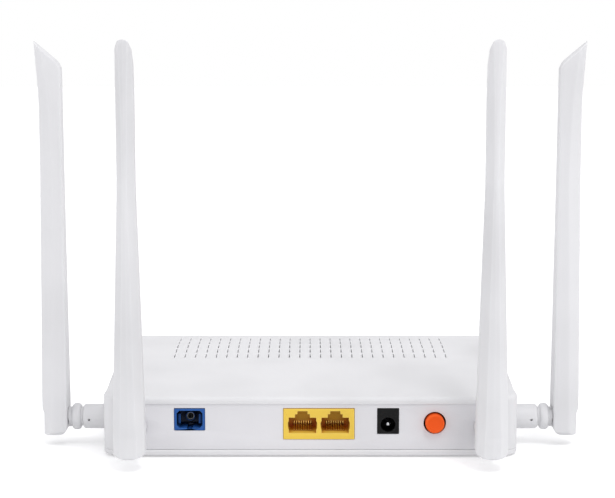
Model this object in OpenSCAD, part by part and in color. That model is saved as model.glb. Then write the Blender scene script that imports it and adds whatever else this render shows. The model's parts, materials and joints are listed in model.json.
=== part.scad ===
// Optical network terminal with four hinged antennas.
// Frame: millimetres, +Z up, origin on the table under the middle of the case.
// The ports face -Y, the indicator side faces +Y, +X is to the right when looking at the ports.

/* [Case] */
// Width of the case, left to right
case_w = 177.5; // [172:0.5:180]
// Depth of the case, ports to indicators
case_d = 120; // [116:1:122]
// Height of the cover's rear edge above the table
rear_h = 26; // [25.6:0.2:27]
// Height of the cover's crown above the table
crown_h = 32.6; // [30:0.2:33]
// Wall thickness of the shells
wall = 2; // [1.8:0.1:2.2]
// Radius of the upright corners in plan
corner_r = 8; // [7:0.5:9]
// Radius of the cover's top edge
edge_r = 3.5; // [3:0.25:4]
// Height of the rubber feet below the case
foot_h = 0.7; // [0.7:0.1:1.8]

/* [Vents] */
// Number of vent columns in the cover
vent_cols = 27; // [21:2:27]
// Number of vent rows in the cover
vent_rows = 5; // [3:1:5]
// Distance between vent columns
vent_pitch_x = 4.8; // [4.4:0.1:4.8]
// Distance between vent rows
vent_pitch_y = 9.8; // [8.6:0.1:10]
// Width of one vent slot
vent_w = 1.2; // [1.0:0.1:1.8]
// Length of one vent slot
vent_l = 7.4; // [5:0.2:8]
// Distance of the vents' middle row in front of the middle of the case
vent_y = 24.5; // [23:0.5:27]

/* [Ports] */
// Height of the circuit board's underside, from which every port hangs
board_z = 21.3; // [21:0.1:21.6]
// Centre of the fibre receptacle
sc_x = -51.5; // [-53:0.5:-50]
// Centre of the double network jack
lan_x = 3.6; // [1:0.2:5]
// Distance between the two network jacks
lan_pitch = 13.97; // [13.9:0.01:14.1]
// Centre of the power jack
dc_x = 33.1; // [32:0.1:34]
// Centre of the power button
button_x = 53; // [52:0.1:54]
// Height of the power button
button_z = 15; // [14.6:0.1:15.4]
// Travel of the power button
button_travel = 2.5; // [1.5:0.1:2.5]

/* [Antennas] */
// Height of the side antennas' swivel axes above the table
swivel_z = 12.3; // [11.8:0.1:12.6]
// Height of the rear antennas' swivel axes above the table
rear_swivel_z = 13.6; // [12.2:0.1:13.8]
// Distance of each rear antenna from the middle of the case
rear_antenna_x = 75; // [74.5:0.1:75.5]
// Distance of the side antennas from the rear edge
side_antenna_setback = 25.5; // [25:0.5:27]
// Length of a blade from its foot to its tip
blade_l = 172.5; // [160:0.5:185]
// Half the width of a blade at its foot
blade_foot_t = 6.6; // [6.4:0.05:6.9]
// Half the width of a blade near its tip
blade_tip_t = 3.75; // [3.4:0.05:3.9]
// Distance of the tilt pin from the wall
pin_k = 23.35; // [23.25:0.05:23.5]
// Height of the tilt pin relative to the swivel axis
pin_z = -2; // [-2.2:0.1:-1.8]

/* [Hidden] */

$fn = 48;
hull_fn = 32;
eps = 0.02;

shell_colour = [0.91, 0.91, 0.93];
panel_colour = [0.87, 0.87, 0.89];
rubber_colour = [0.16, 0.16, 0.17];
steel_colour = [0.72, 0.73, 0.75];
board_colour = [0.06, 0.32, 0.18];
chip_colour = [0.09, 0.09, 0.1];
gold_colour = [0.85, 0.66, 0.25];
sc_colour = [0.1, 0.28, 0.58];
lan_colour = [0.95, 0.8, 0.22];
button_colour = [0.95, 0.36, 0.08];
clear_colour = [0.85, 0.9, 0.95];

side_x = case_w / 2;
rear_y = -case_d / 2;
front_y = case_d / 2;

// parting line between the cover and the bottom shell
seam_low = foot_h + 2.25;
seam_high = foot_h + 2.6;
floor_top = foot_h + 2;

// run over which the roof climbs from its rear edge to its crown
crown_run = 0.85 * case_d;
rib_count = 6;
front_edge_r = edge_r + 0.5;
lip_r = 1.6;

// rear panel, set back behind the cover's lip
panel_setback = 0.6;
panel_face = rear_y + panel_setback;
panel_t = 2;
panel_half_w = 80;
panel_top = rear_h - 2.6;
panel_gap = 0.15;
panel_rim = 1;
rim_gap = 0.4;
port_face = panel_face - 0.2;
port_gap = 0.15;

// circuit board
board_t = 1.6;
board_half_w = 70;
board_rear = rear_y + 3.8;
board_front = front_y - 15;
board_screw_x = 66.5;
board_screw_ys = [-20, 38];
solder_gap = 0.05;

// parts hanging under the board: x, y, width, depth, height
CHIPS = [
    [-2, 2, 17, 17, 1.4], [26, 2, 8, 12, 1.1], [26, 18, 8, 6, 1.2],
    [-42, 12, 8, 8, 0.9], [46, 14, 8, 8, 0.9], [-42, -10, 5, 5, 0.9]
];
COILS = [[31, -23, 7, 7, 4], [44, -16, 6, 6, 3], [-30, -12, 5, 5, 3]];
CANS = [[-42, 12, 30, 26, 2.6], [46, 14, 30, 26, 2.6]];
can_wall = 0.25;

// capacitors under the board: x, y, radius, height
CAPACITORS = [
    [33, -37.5, 4, 11.5], [43, -30, 4, 11.5], [56, -26, 3.15, 7],
    [-28, -34, 3.15, 7], [-22, -24, 2.5, 5.4]
];

// heat sink under the largest chip
sink_w = 35;
sink_rear = -13;
sink_front = 17;
fin_count = 9;
fin_pitch = 4.1;

// case screws: x, y of each post
case_posts = [[77, front_y - 11], [-77, front_y - 11], [80.5, rear_y + 13], [-80.5, rear_y + 13]];
post_top = 12;
post_r = 3.5;
boss_r = 3;
screw_seat_z = 7;
screw_head_r = 2.4;
screw_head_h = 1.6;
screw_r = 1.15;
pilot_r = 1.2;
screw_way_r = 1.45;
case_screw_l = 13;
board_screw_l = 5.2;

// rubber feet: x of each pair and y of the two pairs
foot_x = 62;
foot_ys = [-43, 43];
foot_r = 5;

// air slots in the floor
floor_slot_ys = [-30, 18];
floor_slot_pitch = 5;

// wall-mounting keyholes in the bottom shell
keyhole_x = 40;
keyhole_entry_r = 4;
keyhole_slot_r = 2.1;
keyhole_run = 7;
shell_bottom_r = 1;
shell_lip_h = 3.6;

// reset switch
reset_x = 30;
reset_y = 34;

// antenna cables and their sockets on the board
cable_r = 0.6;
cable_socket_x = 65;
cable_socket_ys = [-8, 6];

// indicators
lamp_count = 6;
lamp_pitch = 10;
lamp_z = board_z - 1.3;
pipe_r = 1.1;

// fibre receptacle
sc_w = 13;
sc_h = 9.5;
sc_z = board_z - sc_h / 2;
sc_depth = 22.6;
sc_mouth_w = 11.2;
sc_mouth_h = 7.7;
sc_mouth_depth = 12;
sc_chamfer = 0.85;
sc_key_w = 2.6;
sc_collar_start = 6.5;
sc_collar_r = 2.2;
sc_bore_r = 1.65;
ferrule_start = 7.5;
ferrule_sleeve_r = 1.6;
ferrule_bore_r = 1.26;

// network jack
lan_w = 30.3;
lan_h = 13.4;
lan_depth = 21;
lan_low = board_z - lan_h;
lan_mouth_w = 11.7;
lan_mouth_low = lan_low + 2.6;
lan_mouth_high = lan_mouth_low + 6.8;
lan_mouth_depth = 14;
lan_back_t = 1.2;
lan_shaft_end = 2.2;
contact_pitch = 1.02;
contact_w = 0.42;
contact_t = 0.3;
contact_k = 1.55;

// power jack
dc_w = 9.1;
dc_h = 11;
dc_depth = 14.4;
dc_z = board_z - 7.1;
dc_mouth_r = 3.15;
dc_mouth_depth = 9.5;

// power button and its switch
button_r = 4.05;
button_hole_r = 4.8;
button_len = 7.8;
switch_front = panel_face + 8.4;
stem_w = 3.5;
stem_way = 3.6;

// antenna hinge, measured outward from the wall along k
sleeve_r = 5.35;
sleeve_l = 10.85;
sleeve_bore_r = 3.85;
sleeve_flange_r = 6.8;
sleeve_hole_k = 8.05;
sleeve_hole_z = -0.55;
shaft_r = 3.8;
barb_r = 4.5;
barb_way_r = 4.6;
ring_r = 6;
ring_start = 11.9;
ring_end = 15.8;
tongue_t = 2.5;
tongue_way_t = 2.65;
tongue_r = 4.2;
tongue_low = 2.3;
neck_r = 4.2;
neck_end = 17.25;
cable_way_r = 1.2;
foot_sweep_r = 6.4;
foot_bottom_r = 9.5;
pin_r = 1.5;
pin_way_r = 1.55;
pin_seat_r = 1.52;
pin_half_l = 5.4;
blade_low = -8.2;
blade_high = blade_low + blade_l;
tip_slant = 40;
tip_k = 29.95;
tip_arch_r = 8;
radiator_way_r = 2.1;

REAR_LEFT = [[-rear_antenna_x, panel_face, rear_swivel_z], -90, 1];
REAR_RIGHT = [[rear_antenna_x, panel_face, rear_swivel_z], -90, -1];
SIDE_LEFT = [[-side_x, rear_y + side_antenna_setback, swivel_z], 180, 1];
SIDE_RIGHT = [[side_x, rear_y + side_antenna_setback, swivel_z], 0, -1];

// height of the roof's outside at depth y
function roof(y) =
    let (u = min(1, max(0, (y - rear_y) / crown_run)))
    rear_h + (crown_h - rear_h) * (1 - (1 - u) * (1 - u));

// place of indicator i across the case
function lamp_x(i) = (i - (lamp_count - 1) / 2) * lamp_pitch;

// points of an arc
function arc(cx, cy, r, a0, a1, n = 6) =
    [for (i = [0:n]) let (a = a0 + (a1 - a0) * i / n) [cx + r * cos(a), cy + r * sin(a)]];

// a cube given by its centre in x and its low and high corners in y and z
module slab(cx, w, y0, y1, z0, z1) {
    translate([cx - w / 2, y0, z0])
        cube([w, y1 - y0, z1 - z0]);
}

// a rod along +Y
module rod_y(x, y, z, r, l) {
    translate([x, y, z])
        rotate([-90, 0, 0])
            cylinder(r = r, h = l);
}

// a flat rounded rectangle, centred
module round_rect(w, d, r) {
    union() {
        square([w - 2 * r, d], center = true);
        square([w, d - 2 * r], center = true);
        for (sx = [-1, 1], sy = [-1, 1])
            translate([sx * (w / 2 - r), sy * (d / 2 - r)])
                circle(r = r);
    }
}

// an upright corner with a rounded top edge
module top_corner(r, z0, z1, edge) {
    rotate_extrude($fn = hull_fn)
        polygon(concat([[0, z0], [r, z0]], arc(r - edge, z1 - edge, edge, 0, 90), [[0, z1]]));
}

// an upright corner with a rounded bottom edge
module bottom_corner(r, z0, z1, edge) {
    rotate_extrude($fn = hull_fn)
        polygon(concat([[0, z1], [0, z0]], arc(r - edge, z0 + edge, edge, -90, 0), [[r, z1]]));
}

// the cover's crowned block, shrunk by inset on every side, standing on z0
module cover_block(inset, z0) {
    hull() {
        for (s = [-1, 1]) {
            translate([s * (side_x - corner_r), front_y - corner_r, 0])
                top_corner(corner_r - inset, z0, crown_h - 0.8 - inset, front_edge_r - inset);
            translate([s * (side_x - corner_r), rear_y + corner_r, 0])
                top_corner(corner_r - inset, z0, rear_h - inset, max(lip_r - inset, 0.4));
            for (i = [1:rib_count])
                let (y = rear_y + crown_run * i / (rib_count + 1))
                translate([s * (side_x - edge_r), y, roof(y) - edge_r])
                    sphere(r = edge_r - inset, $fn = hull_fn);
        }
    }
}

// vent slots through the roof
module vent_field() {
    first_x = -(vent_cols - 1) / 2 * vent_pitch_x;
    first_y = vent_y - (vent_rows - 1) / 2 * vent_pitch_y;
    for (i = [0:vent_cols - 1], j = [0:vent_rows - 1])
        translate([first_x + i * vent_pitch_x, first_y + j * vent_pitch_y, crown_h - wall])
            cube([vent_w, vent_l, 8], center = true);
}

module top_cover() {
    color(shell_colour)
    difference() {
        union() {
            difference() {
                cover_block(0, seam_high);
                cover_block(wall, -1);
            }
            for (p = case_posts)
                translate([p[0], p[1], post_top + 0.1])
                    cylinder(r = boss_r, h = roof(p[1]) - wall + 0.4 - post_top);
            for (s = [-1, 1], y = board_screw_ys)
                translate([s * board_screw_x, y, board_z + board_t + solder_gap])
                    cylinder(r = boss_r, h = roof(y) - wall + 0.4 - board_z - board_t);
        }
        slab(0, 2 * panel_half_w, rear_y - 1, rear_y + wall + 1, 0, panel_top);
        vent_field();
        for (p = case_posts)
            translate([p[0], p[1], post_top - 1])
                cylinder(r = pilot_r, h = 10);
        for (s = [-1, 1], y = board_screw_ys)
            translate([s * board_screw_x, y, board_z])
                cylinder(r = pilot_r, h = board_screw_l + 0.2);
        translate([-side_x - 1, rear_y + side_antenna_setback, swivel_z])
            rotate([0, 90, 0])
                cylinder(r = sleeve_r + 0.1, h = case_w + 2);
        for (s = [-1, 1])
            rod_y(s * rear_antenna_x, rear_y - 1, rear_swivel_z, sleeve_r + 0.1, wall + 2);
        for (i = [0:lamp_count - 1])
            rod_y(lamp_x(i), front_y - wall - 1, lamp_z, pipe_r + 0.1, wall + 2);
    }
}

// window for a port of width w and height h that hangs from the board
module port_window(x, w, h) {
    low = board_z - h - port_gap;
    slab(x, w + 2 * port_gap, rear_y - 1, panel_face + panel_t + 2, low, board_z + port_gap);
}

module rear_panel() {
    low = seam_high + panel_gap;
    high = panel_top - panel_gap;
    inner = panel_face + panel_t;
    rim_face = rear_y + wall + rim_gap;
    color(panel_colour)
    difference() {
        union() {
            slab(0, 2 * (panel_half_w - panel_gap), panel_face, inner, low, high);
            difference() {
                slab(0, 2 * (panel_half_w + panel_rim), rim_face, inner + 1, low, high + 0.4);
                slab(0, 2 * (panel_half_w - 6), rim_face - 1, inner + 2, low + 1.2, high - 1.2);
            }
        }
        port_window(sc_x, sc_w, sc_h);
        port_window(lan_x, lan_w, lan_h);
        port_window(dc_x, dc_w, dc_h);
        rod_y(button_x, rear_y - 1, button_z, button_hole_r, 6);
        for (s = [-1, 1]) {
            rod_y(s * rear_antenna_x, rear_y - 1, rear_swivel_z, sleeve_r + 0.1, 6);
            rod_y(s * rear_antenna_x, inner, rear_swivel_z, sleeve_flange_r + 0.2, 3);
        }
    }
}

// one wall-mounting keyhole: a screw head enters the circle and slides along the slot
module keyhole() {
    translate([0, 0, foot_h - 1])
        cylinder(r = keyhole_entry_r, h = 5);
    translate([0, keyhole_run, foot_h - 1])
        cylinder(r = keyhole_slot_r, h = 5);
    translate([-keyhole_slot_r, 0, foot_h - 1])
        cube([2 * keyhole_slot_r, keyhole_run, 5]);
}

module bottom_shell() {
    lip_inset = wall + 0.15;
    lip_t = 1.2;
    color(shell_colour)
    difference() {
        union() {
            hull()
                for (sx = [-1, 1], sy = [-1, 1])
                    translate([sx * (side_x - corner_r), sy * (front_y - corner_r), 0])
                        bottom_corner(corner_r, foot_h, seam_low, shell_bottom_r);
            translate([0, 0, floor_top - 0.5])
                linear_extrude(shell_lip_h)
                    difference() {
                        round_rect(case_w - 2 * lip_inset, case_d - 2 * lip_inset, corner_r - lip_inset);
                        round_rect(case_w - 2 * (lip_inset + lip_t), case_d - 2 * (lip_inset + lip_t),
                            corner_r - lip_inset - lip_t);
                        translate([-panel_half_w - 3, rear_y - 1])
                            square([2 * panel_half_w + 6, 6]);
                    }
            for (p = case_posts)
                translate([p[0], p[1], floor_top - 0.5])
                    cylinder(r = post_r, h = post_top - floor_top + 0.5);
        }
        for (p = case_posts) {
            translate([p[0], p[1], 0])
                cylinder(r = screw_head_r + 0.15, h = screw_seat_z);
            translate([p[0], p[1], 0])
                cylinder(r = screw_way_r, h = post_top + 1);
        }
        for (s = [-1, 1], y = foot_ys)
            translate([s * foot_x, y, 0])
                cylinder(r = foot_r + 0.1, h = foot_h + 0.5);
        for (s = [-1, 1])
            translate([s * keyhole_x, 0, 0])
                keyhole();
        translate([reset_x, reset_y, 0])
            cylinder(r = 1, h = 6);
        for (i = [-5:5], y = floor_slot_ys)
            translate([i * floor_slot_pitch, y, foot_h])
                cube([2, 12, 8], center = true);
        // room in the lip for the flanges of the side sleeves
        translate([-side_x + wall, rear_y + side_antenna_setback, swivel_z])
            rotate([0, 90, 0])
                cylinder(r = sleeve_flange_r + 0.2, h = case_w - 2 * wall);
    }
}

module rubber_feet() {
    color(rubber_colour)
    for (s = [-1, 1], y = foot_ys)
        translate([s * foot_x, y, 0])
            rotate_extrude()
                polygon(concat([[0, 0]], arc(foot_r - 0.6, 0.6, 0.6, -90, 0),
                    [[foot_r, foot_h + 0.45], [0, foot_h + 0.45]]));
}

// a pan-head screw pointing up: the head's underside is at z = 0
module screw(l) {
    difference() {
        union() {
            cylinder(r = screw_r, h = l);
            translate([0, 0, -screw_head_h])
                cylinder(r = screw_head_r, h = screw_head_h);
        }
        for (a = [0, 90])
            rotate(a)
                translate([-screw_head_r * 0.6, -0.3, -screw_head_h - 1])
                    cube([screw_head_r * 1.2, 0.6, 1.9]);
    }
}

module case_screws() {
    color(steel_colour)
    for (p = case_posts)
        translate([p[0], p[1], screw_seat_z - 0.02])
            screw(case_screw_l);
}

module board_screws() {
    color(steel_colour)
    for (s = [-1, 1], y = board_screw_ys)
        translate([s * board_screw_x, y, board_z - 0.02])
            screw(board_screw_l);
}

module main_board() {
    color(board_colour)
    difference() {
        slab(0, 2 * board_half_w, board_rear, board_front, board_z, board_z + board_t);
        for (s = [-1, 1], y = board_screw_ys)
            translate([s * board_screw_x, y, board_z - 1])
                cylinder(r = screw_way_r, h = 4);
    }
}

// a flat component hanging under the board
module hung_box(x, y, w, d, h) {
    translate([x - w / 2, y - d / 2, board_z - solder_gap - h])
        cube([w, d, h]);
}

// flat components from a list of x, y, width, depth, height
module hung_boxes(list) {
    union() {
        for (c = list)
            hung_box(c[0], c[1], c[2], c[3], c[4]);
    }
}

module chips() {
    color(chip_colour)
        hung_boxes(CHIPS);
}

module shield_cans() {
    color(steel_colour)
    for (c = CANS)
        difference() {
            hung_box(c[0], c[1], c[2], c[3], c[4]);
            hung_box(c[0], c[1], c[2] - 2 * can_wall, c[3] - 2 * can_wall, c[4] - can_wall);
        }
}

module heat_sink() {
    x = CHIPS[0][0];
    top = board_z - solder_gap - CHIPS[0][4] - 0.25;
    color(steel_colour)
    union() {
        slab(x, sink_w, sink_rear, sink_front, top - 1.6, top);
        for (i = [0:fin_count - 1])
            slab(x + (i - (fin_count - 1) / 2) * fin_pitch, 1, sink_rear, sink_front, top - 8, top - 1.5);
    }
}

module lan_transformers() {
    color(chip_colour)
    for (s = [-1, 1])
        hung_box(lan_x + s * lan_pitch / 2, -27, 12.6, 15, 5.4);
}

module capacitors() {
    color([0.2, 0.21, 0.25])
    union() {
        for (c = CAPACITORS)
            translate([c[0], c[1], board_z - solder_gap - c[3]])
                cylinder(r = c[2], h = c[3]);
    }
}

module inductors() {
    color([0.3, 0.3, 0.32])
        hung_boxes(COILS);
}

module cable_sockets() {
    color(gold_colour)
    for (s = [-1, 1], y = cable_socket_ys)
        hung_box(s * cable_socket_x, y, 2.6, 2.6, 0.8);
}

module led_lamps() {
    color(clear_colour)
    for (i = [0:lamp_count - 1])
        hung_box(lamp_x(i), board_front - 1.2, 1.6, 0.8, 1.5);
}

module light_pipe() {
    pipe_start = board_front + 0.3;
    color(clear_colour)
    union() {
        for (i = [0:lamp_count - 1])
            rod_y(lamp_x(i), pipe_start, lamp_z, pipe_r, front_y - pipe_start);
        slab(0, lamp_x(lamp_count - 1) * 2, board_front + 5, board_front + 7, lamp_z - 0.6, lamp_z + 0.6);
    }
}

module sc_receptacle() {
    mouth_low = sc_z - sc_mouth_h / 2;
    mouth_high = sc_z + sc_mouth_h / 2;
    bay_end = port_face + sc_mouth_depth;
    color(sc_colour)
    difference() {
        union() {
            difference() {
                slab(sc_x, sc_w, port_face, port_face + sc_depth, sc_z - sc_h / 2, board_z - solder_gap);
                slab(sc_x, sc_mouth_w, port_face - 1, bay_end, mouth_low, mouth_high);
            }
            // the two latch arms that hold a plug, rooted in the back of the bay
            for (s = [-1, 1]) {
                slab(sc_x + s * 4.95, 0.6, port_face + 1.4, bay_end + 0.5, sc_z - 2, sc_z + 2);
                slab(sc_x + s * 4.85, 0.8, port_face + 1.4, port_face + 2.8, sc_z - 2, sc_z + 2);
            }
            // collar around the ferrule sleeve
            rod_y(sc_x, port_face + sc_collar_start, sc_z, sc_collar_r,
                sc_mouth_depth - sc_collar_start + 0.5);
            // chamfered corners of the mouth
            for (sx = [-1, 1], sz = [-1, 1])
                translate([sc_x + sx * sc_mouth_w / 2, port_face, sc_z + sz * sc_mouth_h / 2])
                    rotate([-90, 0, 0])
                        cylinder(r = sc_chamfer, h = sc_mouth_depth, $fn = 4);
        }
        // key slot in the floor of the mouth
        slab(sc_x, sc_key_w, port_face - 1, bay_end - 2, mouth_low - 0.7, mouth_low + 0.1);
        rod_y(sc_x, port_face + sc_collar_start - 1, sc_z, sc_bore_r, sc_depth);
    }
}

module ferrule_sleeve() {
    color([0.9, 0.89, 0.85])
    difference() {
        rod_y(sc_x, port_face + ferrule_start, sc_z, ferrule_sleeve_r, 13);
        rod_y(sc_x, port_face + ferrule_start - 1, sc_z, ferrule_bore_r, 11);
    }
}

module optical_module() {
    start = port_face + sc_depth + 0.1;
    color(steel_colour)
    union() {
        rod_y(sc_x, start, sc_z, 3, 4.1);
        slab(sc_x, 7, start + 4, start + 11, sc_z - 3.5, sc_z + 3.5);
        rod_y(sc_x, start + 10.9, sc_z, 2.7, 4);
        translate([sc_x, start + 7.5, sc_z - 6.5])
            cylinder(r = 2.7, h = 3.1);
    }
}

// a jack's mouth: body of the plug with its side lead-ins, then the two steps of its latch
module lan_mouth(cx) {
    end = port_face + lan_mouth_depth;
    slab(cx, lan_mouth_w, port_face - 1, end, lan_mouth_low, lan_mouth_high);
    slab(cx, lan_mouth_w + 0.8, port_face - 1, end, lan_mouth_low + 1.8, lan_mouth_low + 5);
    slab(cx, 6.3, port_face - 1, end, lan_mouth_high - 0.1, lan_mouth_high + 1.5);
    slab(cx, 4.3, port_face - 1, end, lan_mouth_high + 1.4, lan_mouth_high + 2.8);
}

module lan_jack_housing() {
    end = port_face + lan_mouth_depth;
    color(lan_colour)
    difference() {
        slab(lan_x, lan_w, port_face, port_face + lan_depth, lan_low, board_z - solder_gap);
        for (s = [-1, 1]) {
            lan_mouth(lan_x + s * lan_pitch / 2);
            // way of the contacts: low through the back wall, then up behind it to the board
            slab(lan_x + s * lan_pitch / 2, 8.4, end - 0.5, end + lan_shaft_end,
                lan_mouth_low + 0.1, lan_mouth_low + 2.3);
            slab(lan_x + s * lan_pitch / 2, 8.4, end + lan_back_t, end + lan_shaft_end,
                lan_mouth_low + 0.1, board_z + 1);
        }
    }
}

module lan_jack_contacts() {
    end = port_face + lan_mouth_depth;
    low = lan_mouth_low + 0.3;
    color(gold_colour)
    for (s = [-1, 1], i = [0:7])
        translate([lan_x + s * lan_pitch / 2 + (i - 3.5) * contact_pitch - contact_w / 2, 0, 0])
            rotate([90, 0, 90])
                linear_extrude(contact_w)
                    polygon([
                        [end - 9, low], [end - 9, low + contact_t], [end - 3, low + 1.1],
                        [end + contact_k, low + 1.1], [end + contact_k, board_z - solder_gap],
                        [end + contact_k + contact_t, board_z - solder_gap],
                        [end + contact_k + contact_t, low + 0.8], [end - 3, low + 0.8]
                    ]);
}

module dc_jack_housing() {
    color(chip_colour)
    difference() {
        slab(dc_x, dc_w, port_face, port_face + dc_depth, board_z - dc_h, board_z - solder_gap);
        rod_y(dc_x, port_face - 1, dc_z, dc_mouth_r, dc_mouth_depth + 1);
        rod_y(dc_x, port_face, dc_z, 1.1, dc_depth + 1);
    }
}

module dc_jack_pin() {
    color(steel_colour)
    union() {
        rod_y(dc_x, port_face + 1.9, dc_z, 1, dc_depth - 1.4);
        translate([dc_x, port_face + 1.9, dc_z])
            sphere(r = 1);
    }
}

// square channel around the power switch's stem
module stem_channel(y0, y1) {
    slab(button_x, stem_way, y0, y1, button_z - stem_way / 2, button_z + stem_way / 2);
}

module power_switch_body() {
    color(chip_colour)
    difference() {
        slab(button_x, 8.4, switch_front, switch_front + 14, button_z - 4.2, board_z - solder_gap);
        stem_channel(switch_front - 1, switch_front + 11.4);
    }
}

module power_switch_plunger() {
    color([0.9, 0.9, 0.88])
    translate([button_x - stem_w / 2, panel_face + 0.6, button_z - stem_w / 2])
        cube([stem_w, switch_front + 7.9 - panel_face, stem_w]);
}

module power_button() {
    start = panel_face - button_travel;
    color(button_colour)
    difference() {
        translate([button_x, start, button_z])
            rotate([-90, 0, 0])
                rotate_extrude()
                    polygon(concat([[0, button_len], [0, 0]], arc(button_r - 0.7, 0.7, 0.7, -90, 0),
                        [[button_r, button_len]]));
        stem_channel(panel_face + 0.5, start + button_len + 1);
    }
}

module reset_switch_body() {
    color(chip_colour)
    difference() {
        hung_box(reset_x, reset_y, 6, 6, 3.6);
        translate([reset_x, reset_y, board_z - 4])
            cylinder(r = 1.8, h = 3.4);
    }
}

module reset_plunger() {
    color([0.9, 0.9, 0.88])
    translate([reset_x, reset_y, 9])
        cylinder(r = 1.75, h = board_z - 9 - 1);
}

// antennas: everything below is drawn with x as k, the distance out from the wall, y across and z up

// puts an antenna piece at its wall
module at_wall(place) {
    translate(place[0])
        rotate(place[1])
            children();
}

// a turned piece along k
module turned() {
    rotate([90, 0, 90])
        rotate_extrude()
            children();
}

// the fixed sleeve, with its flange behind the wall; side says which way the locking hole faces
module sleeve(side) {
    color(shell_colour)
    difference() {
        turned()
            polygon([
                [barb_way_r, -4], [sleeve_flange_r, -4], [sleeve_flange_r, -panel_t - 0.05],
                [sleeve_r, -panel_t - 0.05], [sleeve_r, sleeve_l - 0.4], [sleeve_r - 0.4, sleeve_l],
                [sleeve_bore_r, sleeve_l], [sleeve_bore_r, 1], [barb_way_r, 1]
            ]);
        translate([sleeve_hole_k, side * (sleeve_bore_r - 0.5), sleeve_hole_z])
            rotate([-side * 90, 0, 0])
                cylinder(r = 0.55, h = 3);
    }
}

// the swivelling knuckle: a split snap shaft, a ring and the tongue that carries the tilt pin
module knuckle() {
    color(shell_colour)
    difference() {
        union() {
            turned()
                polygon([
                    [0, -1], [shaft_r, -1], [barb_r, 0], [barb_r, 0.8], [shaft_r, 0.8],
                    [shaft_r, sleeve_l + 0.1], [neck_r, sleeve_l + 0.1], [neck_r, ring_start],
                    [ring_r - 0.6, ring_start], [ring_r, ring_start + 0.7], [ring_r, ring_end - 0.9],
                    [ring_r - 0.9, ring_end], [neck_r, ring_end], [neck_r, neck_end], [0, neck_end]
                ]);
            rotate([90, 0, 0])
                linear_extrude(2 * tongue_t, center = true)
                    union() {
                        translate([pin_k, pin_z])
                            circle(r = tongue_r);
                        polygon([
                            [ring_end - 0.5, -4.2], [pin_k, pin_z - tongue_low], [pin_k, pin_z + tongue_r],
                            [pin_k - 3, 3.4], [ring_end - 0.5, 3.6]
                        ]);
                    }
        }
        // the foot of the blade sweeps past the neck
        difference() {
            translate([pin_k, 0, pin_z])
                rotate([90, 0, 0])
                    cylinder(r = foot_sweep_r + 0.15, h = 20, center = true);
            translate([ring_end - 1, -tongue_t, -10])
                cube([20, 2 * tongue_t, 20]);
        }
        rotate([0, 90, 0])
            translate([0, 0, -2])
                cylinder(r = cable_way_r, h = pin_k - 1.6);
        translate([pin_k - 4.6, 0, 0])
            cylinder(r = cable_way_r - 0.1, h = 6);
        translate([-2, -0.5, -6])
            cube([7, 1, 12]);
        translate([pin_k, 0, pin_z])
            rotate([90, 0, 0])
                cylinder(r = pin_way_r, h = 20, center = true);
    }
}

module hinge_pin() {
    color(steel_colour)
    translate([pin_k, 0, pin_z])
        rotate([90, 0, 0])
            cylinder(r = pin_r, h = 2 * pin_half_l, center = true);
}

// a thin slice of the blade: flat inner side, flat flanks, two facets and a crest of half width crest
module blade_slice(z, k0, k1, t, flank, crest) {
    bevel = 0.8;
    translate([0, 0, z])
        linear_extrude(eps)
            polygon([
                [k0, -t + bevel], [k0 + bevel, -t], [k0 + flank, -t], [k1 - 0.4, -crest], [k1, 0],
                [k1 - 0.4, crest], [k0 + flank, t], [k0 + bevel, t], [k0, t - bevel]
            ]);
}

// the blade's outside: foot, long taper, straight neck and flared tip
module blade_block() {
    z_foot = 5;
    z_taper = 105;
    z_flare = 140;
    hull() {
        blade_slice(blade_low, 17.65, 28.25, blade_foot_t, 7, 3.4);
        blade_slice(z_foot, 17.45, 29.25, blade_foot_t, 7, 3.2);
    }
    hull() {
        blade_slice(z_foot - eps, 17.45, 29.25, blade_foot_t, 7, 3.2);
        blade_slice(z_taper, 17.95, 28.25, blade_tip_t, 4.6, 1);
    }
    hull() {
        blade_slice(z_taper - eps, 17.95, 28.25, blade_tip_t, 4.6, 1);
        blade_slice(z_flare, 18.15, 28.25, blade_tip_t, 5.6, 1.2);
    }
    hull() {
        blade_slice(z_flare - eps, 18.15, 28.25, blade_tip_t, 5.6, 1.2);
        blade_slice(blade_high, 18.25, tip_k, blade_tip_t - 0.3, 8.2, 2.2);
    }
}

module blade() {
    color(shell_colour)
    difference() {
        blade_block();
        // inner corner of the foot, rounded about the tilt pin
        difference() {
            translate([pin_k - 10, -10, -12])
                cube([10, 20, 12 + pin_z]);
            translate([pin_k, 0, pin_z])
                rotate([90, 0, 0])
                    cylinder(r = foot_sweep_r, h = 30, center = true);
        }
        // round bottom of the foot
        difference() {
            translate([10, -10, -12])
                cube([30, 20, 8]);
            translate([0, 0, blade_low + foot_bottom_r])
                rotate([0, 90, 0])
                    cylinder(r = foot_bottom_r, h = 50);
        }
        // slanted, arched tip
        translate([tip_k, 0, blade_high])
            rotate([0, -tip_slant, 0])
                difference() {
                    translate([-25, -10, -blade_tip_t])
                        cube([40, 20, 20]);
                    translate([-30, 0, -tip_arch_r])
                        rotate([0, 90, 0])
                            cylinder(r = tip_arch_r, h = 50, $fn = 96);
                }
        // slot that the tongue turns in
        rotate([90, 0, 0])
            linear_extrude(2 * tongue_way_t, center = true)
                union() {
                    translate([pin_k, pin_z])
                        circle(r = tongue_r + 0.4);
                    translate([15, -12])
                        square([pin_k - 15, 16.2]);
                    translate([pin_k - 0.1, -12])
                        square([2.7, 12 + pin_z]);
                }
        translate([pin_k, 0, pin_z])
            rotate([90, 0, 0])
                cylinder(r = pin_seat_r, h = 2 * pin_half_l + 0.1, center = true);
        // way for the radiator
        translate([pin_k, 0, 0])
            cylinder(r = radiator_way_r, h = 150);
    }
}

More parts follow.
